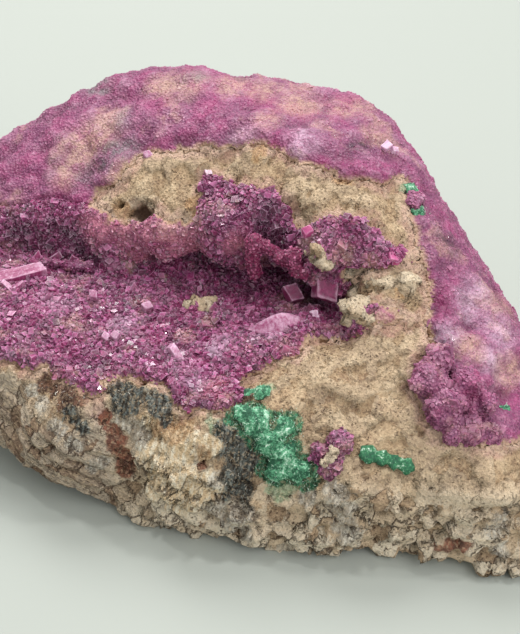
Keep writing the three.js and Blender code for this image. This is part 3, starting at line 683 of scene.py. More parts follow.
# Each stain of the stone: its darker and its lighter colour, and how fully it covers.
STAIN_COLOURS = {
    "cream": (colour(222, 194, 154), colour(250, 240, 216), 0.92),
    "ochre": (colour(160, 114, 74), colour(210, 170, 122), 0.65),
    "ash": (colour(152, 144, 132), colour(226, 220, 206), 0.75),
    "green": (colour(96, 146, 108), colour(176, 198, 166), 0.65),
    "fibrous": (colour(64, 38, 34), colour(138, 100, 80), 0.9),
    "rust": (colour(92, 26, 20), colour(156, 88, 64), 0.85),
    "dark": (colour(14, 18, 20), colour(116, 124, 120), 0.96),
    "filmed": (MALACHITE_DARK, MALACHITE_MID, 0.95),
}

# Each tint of the druses, and how fully it covers. The first is painted shade.
TINT_COLOURS = {
    "shaded": (PAINTED_SHADE_PLUM, 0.95),
    "hot": (HOT, 0.55),
    "pale": (LILAC, 0.55),
    "rose": (DUSTY_ROSE, 0.85),
    "dusty": (DUST, 0.75),
    "grey": (SLATE, 0.75),
}


def stained(finish, place, base):
    """A stone's colour with its stains, which are ragged and mixed of a dark and a light colour."""
    ragged = finish.wander(place, 1.1, 1.3, 6, 0.78)
    grain = fibres(finish, place) + finish.wander(place, 0.35, 0.3, 3, 0.7)
    for stain, (dark, light, strength) in STAIN_COLOURS.items():
        edge = finish.rise(finish.attribute(stain) + ragged, 0.2, 0.7)
        base = finish.mix(edge * strength, base, finish.mix(finish.rise(grain, 0.4, 0.66), dark, light))
    return base


def stone_ground(finish, place, wall, lines):
    """The stone's own colour: clouded sand, grey in layers on the wall, dusted with pink by the druses."""
    cloud = finish.noise(place, 3, 6, 0.7)
    base = finish.ramp(cloud, (0.34, SAND_BROWN), (0.5, SAND), (0.64, SAND_LIGHT))
    layers = finish.ramp(lines, (0.3, WALL_DARK), (0.46, WALL_GREY), (0.66, WALL_LIGHT))
    base = finish.mix(wall, base, layers)
    dusting = finish.attribute("dusted") + (cloud - 0.5) * 2
    return finish.washed(base, (dusting, 0.4, 1, 0.35, DUSTY_ROSE))


def stone_holes(finish, place, wall, lines, crevices):
    """1 in the stone's pores, crevices, seams and pits."""
    fine_pores = pores(finish, place, 0.5, 2.4) * 0.8
    wide_pores = pores(finish, place, 1.1, 5) * (1 - finish.attribute("sandy") * 0.8)
    seams = finish.rise(finish.maths("ABSOLUTE", lines - 0.46), 0.012, 0.0) * wall
    holes = finish.most((fine_pores + wide_pores) * (1 - wall * 0.6), crevices)
    return finish.most(finish.most(holes, seams * 0.7), finish.rise(finish.attribute("pitted"), 0.35, 0.8))


def sandy_dolomite(name, loose=False):
    """Tan grainy dolomite: clouded, crumbling, layered grey on walls, stained; painted shade in its pores,
    painted light on broken faces.
    """
    finish = Finish(name)
    place = finish.place()
    wall = finish.attribute("wall")
    lines = striae(finish, place)
    blocks, crevices = crumbs(finish, place)
    broken = 1 - finish.attribute("sandy") * 0.8
    base = stone_ground(finish, place, wall, lines)
    # Painted light: the broken faces, steeper or lower than the level sandy ones, are lightened.
    base = finish.mix(broken * (1 - wall) * 0.65, base, SAND_PAINTED_LIGHT)
    base = finish.washed(
        base,
        (blocks, 0.15, 0.7, broken * (1 - wall * 0.6) * 0.9, SAND_PALE),
        (blocks, 0.35, 0, broken * 0.5, SAND_BROWN),
    )
    base = stained(finish, place, base)
    grains = finish.cells(place, 0.3)
    shade = finish.attribute("tone") if loose else finish.lot(grains)
    base = finish.washed(base, (shade, 0.55, 1, 0.4, SAND_LIGHT), (shade, 0.4, 0, 0.4, WALL_DARK))
    holes = stone_holes(finish, place, wall, lines, crevices * broken)
    # Dark brown in the pores, crevices and pits, which is painted shade, and along the seams between the
    # layers.
    base = finish.mix(holes * 0.8, base, HOLE_SHADE)
    height = grains["Distance"] * 0.3 - holes + finish.noise(place, 0.9, 6, 0.78) * 1.1 + lines * wall * 0.8
    normal = finish.bump(height, 0.5)
    return finish.finish(Base_Color=base, Roughness=0.92, Normal=normal, Specular_IOR_Level=0.25)


def tinted(finish, place, base):
    """A druse's colour with its clouds and tints, dusty in streaks, painted shade in hollows, painted light
    on swells.
    """
    wide = finish.noise(place, 6, 4, 0.6, seed=8)
    streaks = finish.noise(place, 2.4, 6, 0.7, seed=9)
    raised = finish.attribute("raised")
    base = finish.washed(
        base,
        (wide, 0.5, 0.62, 0.35, HOT),
        (wide, 0.47, 0.34, 0.45, DUST),
        (streaks, 0.5, 0.38, 0.7, PLUM),
        (streaks, 0.54, 0.66, 0.32, LAVENDER),
        # Painted shade where the surface lies low or faces down, and painted light where it swells or faces
        # up.
        (raised, 0.4, 0, 0.5, DEEP),
        (raised, 0.6, 1, 0.18, LAVENDER),
    )
    patchy = finish.rise(finish.noise(place, 1.5, 6, 0.78), 0.4, 0.58) * 0.65 + 0.35
    for tint, (paint, strength) in TINT_COLOURS.items():
        base = finish.mix(finish.attribute(tint) * (patchy * strength), base, paint)
    return base


def druse_ground(name, dark, body, clouded=True):
    """The finely crystalline ground between a druse's rhombs, sandy where it thins out."""
    finish = Finish(name)
    place = finish.place()
    glitter = finish.cells(place, 0.4)
    base = finish.mix(finish.lot(glitter) * 0.7, dark, body)
    if clouded:
        base = tinted(finish, place, base)
    base = finish.washed(base, (finish.attribute("covered"), 0.7, 0.2, 0.8, SAND))
    normal = finish.bump(glitter["Distance"] + finish.noise(place, 0.8, 3), 0.25)
    return finish.finish(Base_Color=base, Roughness=0.5, Normal=normal)


def facet_edge(finish, place):
    """1 along the edges of a rhomb's faces, from the square of UV on each."""
    u, v, _ = finish.parts(finish.node("ShaderNodeUVMap", uv_map="facet")["UV"])
    inner = finish.least(finish.least(u, 1 - u), finish.least(v, 1 - v))
    return finish.rise(inner + finish.wander(place, 0.5, 0.25, 2), 0.16, 0.0)


def rhomb_finish(name, tones, root, variety, edge, matte, gloss, clouded=True):
    """Crystals in three tones, each in its own: `root` is painted shade at their roots, `edge` a painted
    highlight on edges.

    The greater `variety` is, the more their tones differ, and some of them have a coat of up to `gloss`.
    """
    finish = Finish(name)
    place = finish.place()
    rim = facet_edge(finish, place)
    tip = finish.attribute("tip")
    tone = finish.attribute("tone")
    cloud = finish.noise(place * (1.0, 1.0, 0.3), 0.5, 4, 0.7)
    dark, mid, light = tones
    shade = (tone - 0.5) * variety + (cloud - 0.5) * (0.35 + variety * 0.4) + 0.5
    base = finish.ramp(shade, (0.1, dark), (0.5, mid), (0.9, light))
    if clouded:
        base = tinted(finish, place, base)
    # Painted shade at the crystals' roots, where they meet the crust and each other.
    base = finish.washed(base, (tip, 0.75, 0, root, dark))
    # Painted highlight along the edges of the faces, stronger towards the crystals' tips.
    base = finish.mix(rim * (tip * edge), base, LILAC)
    normal = finish.bump(finish.noise(place, 0.2, 4, 0.7), 0.08)
    shine = finish.fraction(tone * 7.3) ** 2
    return finish.finish(
        Base_Color=base, Roughness=matte + (cloud - 0.5) * 0.4, Normal=normal,
        Coat_Weight=shine * gloss, Coat_Roughness=0.08,
        Subsurface_Weight=0.3, Subsurface_Radius=(1.0, 0.4, 0.7), Subsurface_Scale=0.6 * MM,
    )


def malachite(name, dark, mid, pale):
    """Velvety green fibres, finely mottled from dark to pale green."""
    finish = Finish(name)
    place = finish.place()
    mottle = finish.wander(place, 0.45, 0.9, 4, 0.75) + finish.wander(place, 1.8, 0.9, 5, 0.7, seed=4)
    shade = mottle + (finish.attribute("tone") - 0.5) * 0.25 + 0.5
    base = finish.ramp(shade, (0.3, dark), (0.46, mid), (0.62, pale))
    normal = finish.bump(finish.noise(place, 0.3, 4, 0.7), 0.2)
    return finish.finish(Base_Color=base, Roughness=0.65, Normal=normal)


def mineral_hair(name):
    """Short mineral hairs on the dark and the brown patches, from soot or brown to nearly white."""
    finish = Finish(name)
    soot, brown, ash = STAIN_COLOURS["dark"][0], STAIN_COLOURS["fibrous"][0], STAIN_COLOURS["ash"][1]
    body = finish.mix(finish.attribute("fibrous"), soot, brown)
    base = finish.washed(body, (finish.attribute("tone"), 0.5, 1, 0.75, ash))
    return finish.finish(Base_Color=base, Roughness=0.7)


def pale_board(name):
    """The plain board under the cluster."""
    return Finish(name).finish(Base_Color=colour(158, 162, 155), Roughness=0.7)


# ---- Meshes ----


def new_piece(name, mesh):
    piece = bpy.data.objects.new(name, mesh)
    bpy.context.scene.collection.objects.link(piece)
    return piece


def removed(*pieces):
    for piece in pieces:
        bpy.data.objects.remove(piece)


def applied(piece, name=None):
    """A piece's mesh with its modifiers made real, in place of the piece."""
    mesh = bpy.data.meshes.new_from_object(piece.evaluated_get(bpy.context.evaluated_depsgraph_get()))
    plain = new_piece(name or piece.name, mesh)
    old = piece.data
    removed(piece)
    if old.users == 0:
        bpy.data.meshes.remove(old)
    return plain


def mesh_of(shape, name):
    """A plain mesh of a bmesh, which is freed."""
    mesh = bpy.data.meshes.new(name)
    shape.to_mesh(mesh)
    shape.free()
    return mesh


def to_metres(mesh):
    """The same mesh, drawn in millimetres, at its real size."""
    mesh.transform(Matrix.Scale(MM, 4))
    return mesh


def merged_copy(node):
    """A copy of a CAD node's mesh with its loose triangles joined up."""
    shape = bmesh.new()
    shape.from_mesh(frame["nodes"][node].data)
    bmesh.ops.remove_doubles(shape, verts=shape.verts, dist=CAD_WELD * MM)
    return mesh_of(shape, node)


def fine_form(mesh, cell, wear):
    """A closed mesh drawn again in even small faces, with its creases worn down."""
    form = new_piece("form", mesh)
    remesh = form.modifiers.new("even", "REMESH")
    remesh.mode = "VOXEL"
    remesh.voxel_size = cell * MM
    smoothing = form.modifiers.new("wear", "SMOOTH")
    smoothing.factor = 0.5
    smoothing.iterations = wear
    return applied(form)


def grown(source, tree, name, material, **inputs):
    """What a Geometry Nodes tree makes of a piece, as a plain mesh of its own."""
    bed = new_piece("bed", source.data)
    modifier = bed.modifiers.new("grow", "NODES")
    modifier.node_group = tree
    sockets = {item.name: item.identifier for item in tree.interface.items_tree if item.in_out == "INPUT"}
    for given, value in {"Material": material, **inputs}.items():
        modifier[sockets[given]] = value
    return applied(bed, name)


def joined(name, parts):
    """Several pieces as one."""
    chosen = {"active_object": parts[0], "selected_editable_objects": parts, "selected_objects": parts}
    with bpy.context.temp_override(**chosen):
        bpy.ops.object.join()
    parts[0].name = name
    return parts[0]


def by_vertex(mesh, name):
    """A vector for each of a mesh's vertices, one a row."""
    flat = np.empty(len(mesh.vertices) * 3)
    mesh.vertices.foreach_get(name, flat)
    return flat.reshape(-1, 3)


def read(mesh, name):
    """The values of a mesh's attribute, one for each vertex."""
    values = np.empty(len(mesh.vertices), np.float32)
    mesh.attributes[name].data.foreach_get("value", values)
    return values


def store(mesh, name, values):
    kept = mesh.attributes.new(name, "FLOAT", "POINT")
    kept.data.foreach_set("value", np.ascontiguousarray(values, np.float32))


def store_all_over(mesh, **values):
    """Gives a mesh attributes that are the same all over it."""
    for name, value in values.items():
        store(mesh, name, np.full(len(mesh.vertices), value))


# ---- Where things grow on the stone ----


def waver(points, length, octaves=3, seed=0):
    """Smooth noise from about -1 to 1 at each point, in waves of about `length`."""
    shift = Vector((seed * 31.7, seed * 12.9, seed * 7.3))
    return np.array([noise.fractal(Vector(point) / length + shift, 1, 2, octaves) for point in points])


def smooth(values, low, high):
    """0 up to low, 1 from high on and a smooth rise between them, or a fall where low is over high."""
    share = np.clip((values - low) / (high - low), 0, 1)
    return share * share * (3 - 2 * share)


def inset(points, outline):
    """How far each point is inside an outline in plan, and negative outside it."""
    x, y = points[:, 0], points[:, 1]
    nearest = np.full(len(points), np.inf)
    inside = np.zeros(len(points), bool)
    for (ax, ay), (bx, by) in zip(outline, outline[1:] + outline[:1]):
        along = ((x - ax) * (bx - ax) + (y - ay) * (by - ay)) / ((bx - ax) ** 2 + (by - ay) ** 2)
        along = np.clip(along, 0, 1)
        nearest = np.minimum(nearest, np.hypot(ax + along * (bx - ax) - x, ay + along * (by - ay) - y))
        if ay != by:
            inside ^= ((ay > y) != (by > y)) & (x < ax + (y - ay) * (bx - ax) / (by - ay))
    return np.where(inside, nearest, -nearest)


def spotted(points, balls):
    """1 in the middle of any of the balls, falling to 0 past its edge."""
    share = np.zeros(len(points))
    for *middle, radius in balls:
        away = np.linalg.norm(points - np.array(middle), axis=1)
        share = np.maximum(share, 1 - smooth(away, *(part * radius for part in BALL_EDGE)))
    return share


def nearness(points, node):
    """How far each point is from a CAD node."""
    mesh = merged_copy(node)
    tree = BVHTree.FromPolygons([v.co for v in mesh.vertices], [tuple(f.vertices) for f in mesh.polygons])
    return np.array([tree.find_nearest(Vector(point) * MM)[3] / MM for point in points])


def bare_stone(points):
    """How far each point is inside the bare sandy stone, and negative outside it."""
    height = points[:, 2]
    band = np.minimum(inset(points, BARE_BAND), height - np.interp(points[:, 0], *zip(*BAND_FOOT)))
    ledge = np.minimum(inset(points, BARE_LEDGE), height - LEDGE_FOOT)
    return np.maximum(inset(points, BARE_FRONT), np.maximum(band, ledge))


def lowest_druse(points, in_pocket):
    """The height at each point down to which a druse grows, level in the pocket and wavy on the outside."""
    foot = LOWEST_DRUSE + DRUSE_FOOT_WANDER * np.maximum(waver(points, 14, 3, seed=2) * 1.6, 0)
    return np.where(in_pocket > 0.5, LOWEST_IN_POCKET, foot)


def coarseness(points, in_pocket):
    """How large the crystals grow at each point, from 0 to 1."""
    pocket = in_pocket * (1 - 0.8 * spotted(points, FINE_PLACES))
    rim = (1 - in_pocket) * (0.2 + 0.7 * spotted(points, COARSE_PLACES))
    return np.maximum(pocket, rim)


def paint(mesh):
    """Marks the stone's surface with what grows on it, and with its stains."""
    points = by_vertex(mesh, "co") / MM
    height, up = points[:, 2], by_vertex(mesh, "normal")[:, 2]
    wander = EDGE_WANDER * waver(points, 3.5) + 0.5 * waver(points, 1.1, 2, seed=1)
    nearer = nearness(points, "rim_druse") - nearness(points, "pocket_druse")
    in_pocket = smooth(nearer, -DRUSE_BLEND, DRUSE_BLEND)
    clear = np.minimum(-bare_stone(points), (height - lowest_druse(points, in_pocket)) * 0.8) + wander
    open_side = np.maximum(smooth(up, *DRUSE_SLOPE), in_pocket * smooth(height, *ROOF_HEIGHT))
    edge = RIM_EDGE + (POCKET_EDGE - RIM_EDGE) * in_pocket
    covered = smooth(clear / edge, 0, 1) * open_side
    wall = smooth(up, *WALL_SLOPE) * smooth(points[:, 0], *WALL_REACH) * (1 - covered)
    film = 1 - smooth(nearness(points, "malachite_patch") + wander * 0.5, 0.3, FILM)
    shifted = points + 0.8 * wander[:, None]
    spots = {name: spotted(shifted, balls) for name, balls in {**STAINS, **TINTS}.items()}
    marks = {
        "covered": covered,
        "pocket": covered * in_pocket,
        "rim": covered * (1 - in_pocket),
        "coarse": coarseness(points, in_pocket),
        "wall": wall,
        "dusted": smooth(clear, -PINK_DUST, 0.3) * open_side,
        "filmed": film * (1 - covered),
        "sandy": (1 - covered) * smooth(up, *SANDY_SLOPE) * (1 - wall) * smooth(height, *SANDY_HEIGHT),
        "pitted": spotted(points, PITS),
        "hairy": np.maximum(spots["dark"], spots["fibrous"]) * (1 - covered),
    }
    for name, values in {**marks, **spots}.items():
        store(mesh, name, values)


# ---- Geometry Nodes trees ----


def ledges(tree, place, steep):
    """Steps along the stone's layers, on its steep faces, from about -0.5 to 0.5."""
    step = tree.fraction(strata(tree, place) / LEDGE_HEIGHT)
    return (tree.rise(step, 0, 0.75) - tree.rise(step, 0.82, 1) - 0.5) * steep


def weathering():
    """Breaks a stone's surface into ledges, chips, crumbs, pits and grain."""
    tree = Shaping("weathering")
    ledge, chip, crumb, grain, pit = tree.inputs(*NO_RELIEF)
    place = tree.place()
    bare = 1 - tree.attribute("covered")
    steep = tree.rise(tree.dot(tree.normal(), (0.0, 0.0, 1.0)), 0.75, 0.2)
    chips = tree.cells(place + tree.wander(place, 3, 2.5, 2), CHIP_SIZE, "SMOOTH_F1")["Distance"] - 0.5
    blocks, crevices = crumbs(tree, place)
    broken = (0.4 + steep * 0.6) * (1 - tree.attribute("wall") * 0.8)
    blocky = ((blocks - 0.4) - crevices * 0.5) * broken
    fine = tree.noise(place, 1.5, 4, 0.7) - 0.5
    height = ledges(tree, place, steep) * ledge * bare + chips * chip * (0.35 + bare * 0.65)
    height = height + fine * grain * (0.4 + bare * 0.6)
    height = height + blocky * crumb * bare - tree.attribute("pitted") * pit
    return tree.finish(tree.over_floor(tree.moved(tree.surface, tree.normal() * height)), True)


def crusting():
    """A closed crust where an attribute says that it grows on a surface, thinning out to nothing."""
    tree = Shaping("crusting")
    thickness, sunk, lump, swell = tree.inputs("Thickness", "Sunk", "Lump", "Swell")
    cover = tree.most(tree.attribute(tree.input("Where", "String")) - CRUST_EDGE, 0.0) / (1 - CRUST_EDGE)
    ends = {"A": cover, "B": 0.0001}
    bare = tree.node("FunctionNodeCompare", ends, data_type="FLOAT", operation="LESS_EQUAL")["Result"]
    inputs = {"Geometry": tree.surface, "Selection": bare}
    kept = tree.node("GeometryNodeDeleteGeometry", inputs, domain="FACE")["Geometry"]
    place = tree.place()
    small = tree.noise(place, 1.4, 3) * 0.5 - tree.cells(place, 2.4, "SMOOTH_F1")["Distance"]
    wide = tree.noise(place, 5, 4, seed=4) - 0.5
    # How high the crust swells, which the finishes turn into painted shade in its hollows and painted light
    # on its swells.
    kept = tree.store(kept, "raised", tree.rise(small + wide * 1.5, -0.65, 0.35))
    top = tree.moved(kept, tree.normal() * cover * (thickness + small * lump + wide * swell))
    top = tree.store(top, "outer", 1.0)
    bottom = tree.moved(kept, tree.normal() * cover * sunk * -1)
    bottom = tree.node("GeometryNodeFlipFaces", {"Mesh": bottom})["Mesh"]
    inputs = {"Geometry": tree.joined(top, bottom), "Distance": CRUST_WELD * MM}
    return tree.finish(tree.node("GeometryNodeMergeByDistance", inputs)["Geometry"], True)


def spread(tree, where, spacing, follow, share, seed):
    """Points all over a surface, no two nearer than the spacing, with the tone, root and normal of each."""
    coarse = 1 - follow * (1 - tree.attribute("coarse"))
    patches = tree.rise(tree.noise(tree.place(), 5, 2, seed=2), 0.4, 0.55)
    patchy = tree.most(patches, tree.rise(share, 0.5, 1))
    distance = spacing * MM
    inputs = {
        "Mesh": tree.surface,
        "Distance Min": distance,
        "Density Max": 1.6 / (distance * distance),
        "Density Factor": tree.rise(tree.attribute(where), 0.05, 0.3) * patchy * coarse,
        "Seed": seed,
    }
    found = tree.node("GeometryNodeDistributePointsOnFaces", inputs, distribute_method="POISSON")
    points = tree.store(found["Points"], "outwards", found["Normal"], "FLOAT_VECTOR")
    points = tree.store(points, "root", tree.place(), "FLOAT_VECTOR")
    return tree.store(points, "tone", tree.chance(0.0, 1.0, seed + 1)), found["Normal"]


def turned(tree, outwards, tilt, seed):
    """A rotation that stands a shape upright on a surface, tilts it at random and spins it."""
    upright = tree.node("FunctionNodeAlignRotationToVector", {"Vector": outwards}, axis="Z")["Rotation"]
    angles = [tree.chance(tilt * -1, tilt, seed + 3), tree.chance(tilt * -1, tilt, seed + 4)]
    angles.append(tree.chance(0.0, math.tau, seed + 5))
    lean = tree.node("FunctionNodeEulerToRotation", {"Euler": tree.whole(*angles)})["Rotation"]
    inputs = {"Rotation": upright, "Rotate By": lean}
    return tree.node("FunctionNodeRotateRotation", inputs, rotation_space="LOCAL")["Rotation"]


def scattering():
    """Copies of small shapes all over a surface, each turned and sized at random and rooted in it."""
    tree = Shaping("scattering")
    shape = tree.input("Shape", "Collection")
    where = tree.input("Where", "String")
    seed = tree.input("Seed", "Int")
    spacing, smallest, largest = tree.inputs("Spacing", "Smallest", "Largest")
    follow, share, sink, tilt = tree.inputs("Follow", "Share", "Sink", "Tilt")
    points, outwards = spread(tree, where, spacing, follow, share, seed)
    thin = tree.rise(tree.attribute(where), 0, 0.8)
    pick = tree.chance(0.0, 1.0, seed + 2) ** 2
    size = smallest + (largest - smallest) * pick
    size = size * (0.55 + thin * 0.45) * (0.65 + tree.attribute("coarse") * 0.35)
    points = tree.store(points, "size", size)
    sides = tree.whole(*(tree.chance(0.7, 1.25, seed + side) for side in (6, 7, 8)))
    inputs = {"Collection": shape, "Separate Children": True}
    shapes = tree.node("GeometryNodeCollectionInfo", inputs)["Instances"]
    inputs = {
        "Points": points,
        "Instance": shapes,
        "Pick Instance": True,
        "Instance Index": tree.chance(0.0, 99.0, seed + 9),
        "Rotation": turned(tree, outwards, tilt, seed),
        "Scale": sides * (tree.attribute("size") * MM),
    }
    copies = tree.node("GeometryNodeInstanceOnPoints", inputs)["Instances"]
    solid = tree.node("GeometryNodeRealizeInstances", {"Geometry": copies})["Geometry"]
    outwards = tree.attribute("outwards", "FLOAT_VECTOR")
    size = tree.attribute("size")
    rooted = tree.moved(solid, outwards * (size * sink * -1))
    over = tree.dot(tree.place() - tree.attribute("root", "FLOAT_VECTOR"), outwards)
    return tree.finish(tree.store(rooted, "tip", tree.rise(over / size, -0.15, 0.75)), False)


# ---- Small shapes that are repeated ----


def rhomb_mesh(corner, edges, growth=0):
    """A rhomb from its blunt corner and the three edges that meet there.

    Each face has a unit square of UV. The corners stray a little, in a way of their own for each `growth`.
    """
    shape = bmesh.new()
    stray = CORNER_WARP * sum(edge.length for edge in edges) / 3
    ends = {}
    for step in itertools.product((0, 1), repeat=3):
        end = corner + sum((n * edge for n, edge in zip(step, edges)), Vector())
        way = noise.noise_vector(Vector(step) * 3.7 + Vector((growth, 0, 0)))
        ends[step] = shape.verts.new(end + way * stray)
    facet = shape.loops.layers.uv.new("facet")
    around = ((0, 0), (1, 0), (1, 1), (0, 1))
    for axis, side in itertools.product(range(3), (0, 1)):
        face = shape.faces.new([ends[(*uv[:axis], side, *uv[axis:])] for uv in around])
        for loop, uv in zip(face.loops, around):
            loop[facet].uv = uv
    bmesh.ops.recalc_face_normals(shape, faces=shape.faces)
    return mesh_of(shape, "rhomb")


def three_around():
    """The angles of three sides around an axis."""
    return [math.tau * side / 3 for side in range(3)]


def standing_rhomb(lengths, growth):
    """A dolomite rhomb about the origin that stands with its blunt corner up."""
    flat = math.sqrt((1 - math.cos(math.radians(RHOMB_ANGLE))) / 1.5)
    drop = -math.sqrt(1 - flat * flat)
    ways = [Vector((flat * math.cos(turn), flat * math.sin(turn), drop)) for turn in three_around()]
    edges = [way * length for way, length in zip(ways, lengths)]
    return rhomb_mesh(-sum(edges, Vector()) / 2, edges, growth)


def grain_mesh(growth):
    """A blunt grain of sand."""
    shape = bmesh.new()
    for axis, side in itertools.product(range(3), (1, -1)):
        end = Vector(side if n == axis else 0 for n in range(3))
        shape.verts.new(end * 0.6 + noise.noise_vector(end * 2.3 + Vector((growth, 0, 0))) * 0.3)
    bmesh.ops.convex_hull(shape, input=shape.verts)
    return mesh_of(shape, "grain")


def fibre_mesh():
    """A slim fibre that bends a little and ends in a point."""
    shape = bmesh.new()
    rings = []
    for height, width, bend in ((0, 0.09, 0), (0.45, 0.08, 0.04), (0.8, 0.05, 0.13)):
        ring = [(width * math.cos(turn) + bend, width * math.sin(turn), height) for turn in three_around()]
        rings.append([shape.verts.new(end) for end in ring])
    tip = shape.verts.new((0.22, 0, 1))
    for low, high in zip(rings, rings[1:]):
        for side in range(3):
            after = (side + 1) % 3
            shape.faces.new((low[side], low[after], high[after], high[side]))
    for side in range(3):
        shape.faces.new((rings[-1][side], rings[-1][(side + 1) % 3], tip))
    shape.faces.new(rings[0][::-1])
    return mesh_of(shape, "fibre")


def mould(name, meshes):
    """Small shapes, of which a scattering copies one or another."""
    group = bpy.data.collections.new(name)
    bpy.context.scene.collection.children.link(group)
    for mesh in meshes:
        group.objects.link(bpy.data.objects.new(name, mesh))
    return group


# ---- Single shapes ----


def facing(front, turn=0.0):
    """Three axes: the last is the way that a face looks, and the first is turned from level on the face."""
    out = Vector(front).normalized()
    level = Vector((0, 0, 1)).cross(out).normalized()
    along = Matrix.Rotation(math.radians(turn), 3, out) @ level
    return along, out.cross(along), out


def unevened(mesh):
    """Cuts a large crystal's faces up finely and makes them uneven."""
    shape = bmesh.new()
    shape.from_mesh(mesh)
    bmesh.ops.subdivide_edges(shape, edges=shape.edges, cuts=FACE_CUTS, use_grid_fill=True)
    for vert in shape.verts:
        vert.co += noise.noise_vector(vert.co * 1.1) * FACE_DEPTH
    shape.to_mesh(mesh)
    shape.free()
    return mesh


def large_crystal(corner, front, turn, lengths, tone):
    """A single rhomb with uneven faces and rounded edges."""
    along, across, out = facing(front, turn)
    bend = math.radians(RHOMB_ANGLE)
    second = along * math.cos(bend) + across * math.sin(bend)
    lean = math.cos(bend) / math.cos(bend / 2)
    third = (along + second).normalized() * lean - out * math.sqrt(1 - lean * lean)
    edges = [edge * length for edge, length in zip((along, second, third), lengths)]
    mesh = to_metres(unevened(rhomb_mesh(Vector(corner), edges, corner[0])))
    store_all_over(mesh, tone=tone, tip=0.8, raised=0.5)
    piece = new_piece("crystal", mesh)
    bevel = piece.modifiers.new("edges", "BEVEL")
    bevel.width = EDGE_ROUNDING * MM
    bevel.segments = 2
    return applied(piece)


def lens_crystal(at, faces, reach, height, thickness):
    """A crystal like half a lens, pointed at both ends, fluted on its front, with a painted highlight at its
    top edge.
    """
    shape = bmesh.new()
    bmesh.ops.create_uvsphere(shape, u_segments=LENS_ROUND, v_segments=LENS_RINGS, radius=1)
    # UV that puts the finish's painted edge highlight along the top edge.
    facet = shape.loops.layers.uv.new("facet")
    for face in shape.faces:
        for loop in face.loops:
            loop[facet].uv = (0.5, 0.5 + 0.5 * max(loop.vert.co.y, 0))
    along, up, out = facing(faces)
    for vert in shape.verts:
        x, y, z = vert.co
        arc = 1 - abs(x) ** 1.6
        flute = FLUTE_DEPTH * math.sin(x * FLUTES) * max(y, 0)
        outwards = thickness * z * arc + flute + 0.5 * y * y
        vert.co = along * reach * x + up * height * y * arc + out * outwards
        vert.co += Vector(at)
    bmesh.ops.recalc_face_normals(shape, faces=shape.faces)
    mesh = to_metres(mesh_of(shape, "lens"))
    mesh.shade_smooth()
    store_all_over(mesh, tone=0.62, tip=0.9, raised=0.5)
    return new_piece("lens_crystal", mesh)


def lump_mesh(balls, facets=3, dents=0.5):
    """Balls as one mesh, in more facets the rounder they are, and dented by a share of their size."""
    shape = bmesh.new()
    for *middle, radius in balls:
        ball = bmesh.ops.create_icosphere(shape, subdivisions=facets, radius=radius)["verts"]
        for vert in ball:
            vert.co *= 1 + dents * noise.noise(vert.co * 1.4 / radius + Vector(middle))
        bmesh.ops.translate(shape, verts=ball, vec=Vector(middle))
    return to_metres(mesh_of(shape, "lumps"))


# ---- Floor, camera and light ----


def make_floor():
    mesh = bpy.data.meshes.new("floor")
    corners = [(x * FLOOR_REACH, y * FLOOR_REACH, 0) for x, y in ((-1, -1), (1, -1), (1, 1), (-1, 1))]
    mesh.from_pydata(corners, [], [(0, 1, 2, 3)])
    mesh.materials.append(pale_board("pale_board"))
    new_piece("floor", mesh)


def make_camera():
    data = bpy.data.cameras.new("camera")
    data.lens = LENS
    data.sensor_width = SENSOR
    data.clip_start = NEAREST_SEEN * MM
    camera = new_piece("camera", data)
    elevation = math.radians(CAMERA_ELEVATION)
    back = Vector((0, -math.cos(elevation), math.sin(elevation)))
    camera.location = (LOOKS_AT + back * CAMERA_DISTANCE) * MM
    camera.rotation_euler = (math.radians(90 - CAMERA_ELEVATION), 0, 0)
    bpy.context.scene.camera = camera


def make_light(name, place, size, power):
    """A square light that looks at the cluster."""
    data = bpy.data.lights.new(name, "AREA")
    data.size = size
    data.energy = power
    light = new_piece(name, data)
    light.location = place
    light.rotation_euler = (Vector(place) - LOOKS_AT * MM).to_track_quat("Z", "Y").to_euler()


def make_sky():
    world = bpy.data.worlds.new("sky")
    bpy.context.scene.world = world
    world.use_nodes = True
    background = world.node_tree.nodes["Background"]
    background.inputs["Color"].default_value = colour(240, 243, 242)
    background.inputs["Strength"].default_value = SKY


make_floor()
make_camera()
make_sky()
for light, sizes in LIGHTS.items():
    make_light(light, *sizes)
bpy.context.scene.view_settings.view_transform = "Standard"

# ---- The pieces ----

noise.seed_set(NOISE_SEED)
weather = weathering()
crust = crusting()
scatter = scattering()
moulds = {
    name: mould(name, [standing_rhomb(edges, growth) for growth in range(count)])
    for name, (edges, count) in SMALL_RHOMBS.items()
}
moulds["grain"] = mould("grain", [grain_mesh(growth) for growth in range(GRAINS)])
moulds["fibre"] = mould("fibre", [fibre_mesh()])

sandy = sandy_dolomite("sandy_dolomite")
loose_sand = sandy_dolomite("loose_sand", loose=True)
deep_ground = druse_ground("deep_ground", DEEP, RASPBERRY)
pale_ground = druse_ground("pale_ground", PLUM, ROSE)
lip_ground = druse_ground("lip_ground", WINE, CLARET, clouded=False)
deep_rhombs = rhomb_finish(
    "deep_rhombs", (DEEP, RASPBERRY, MAUVE),
    root=0.85, variety=0.8, edge=0.35, matte=0.3, gloss=0.9,
)
pale_rhombs = rhomb_finish(
    "pale_rhombs", (PLUM, ROSE, LAVENDER),
    root=0.3, variety=0.22, edge=0.05, matte=0.6, gloss=0.2,
)
lip_rhombs = rhomb_finish(
    "lip_rhombs", (WINE, CLARET, BLUSH),
    root=0.5, variety=0.6, edge=0.1, matte=0.35, gloss=0.4, clouded=False,
)
large_rhombs = rhomb_finish(
    "large_rhombs", (DEEP, RASPBERRY, LILAC),
    root=0.5, variety=1.0, edge=0.5, matte=0.4, gloss=0.25, clouded=False,
)
hot_rhombs = rhomb_finish(
    "hot_rhombs", (RASPBERRY, BRIGHT, LILAC),
    root=0.3, variety=0.5, edge=0.3, matte=0.4, gloss=0.4, clouded=False,
)
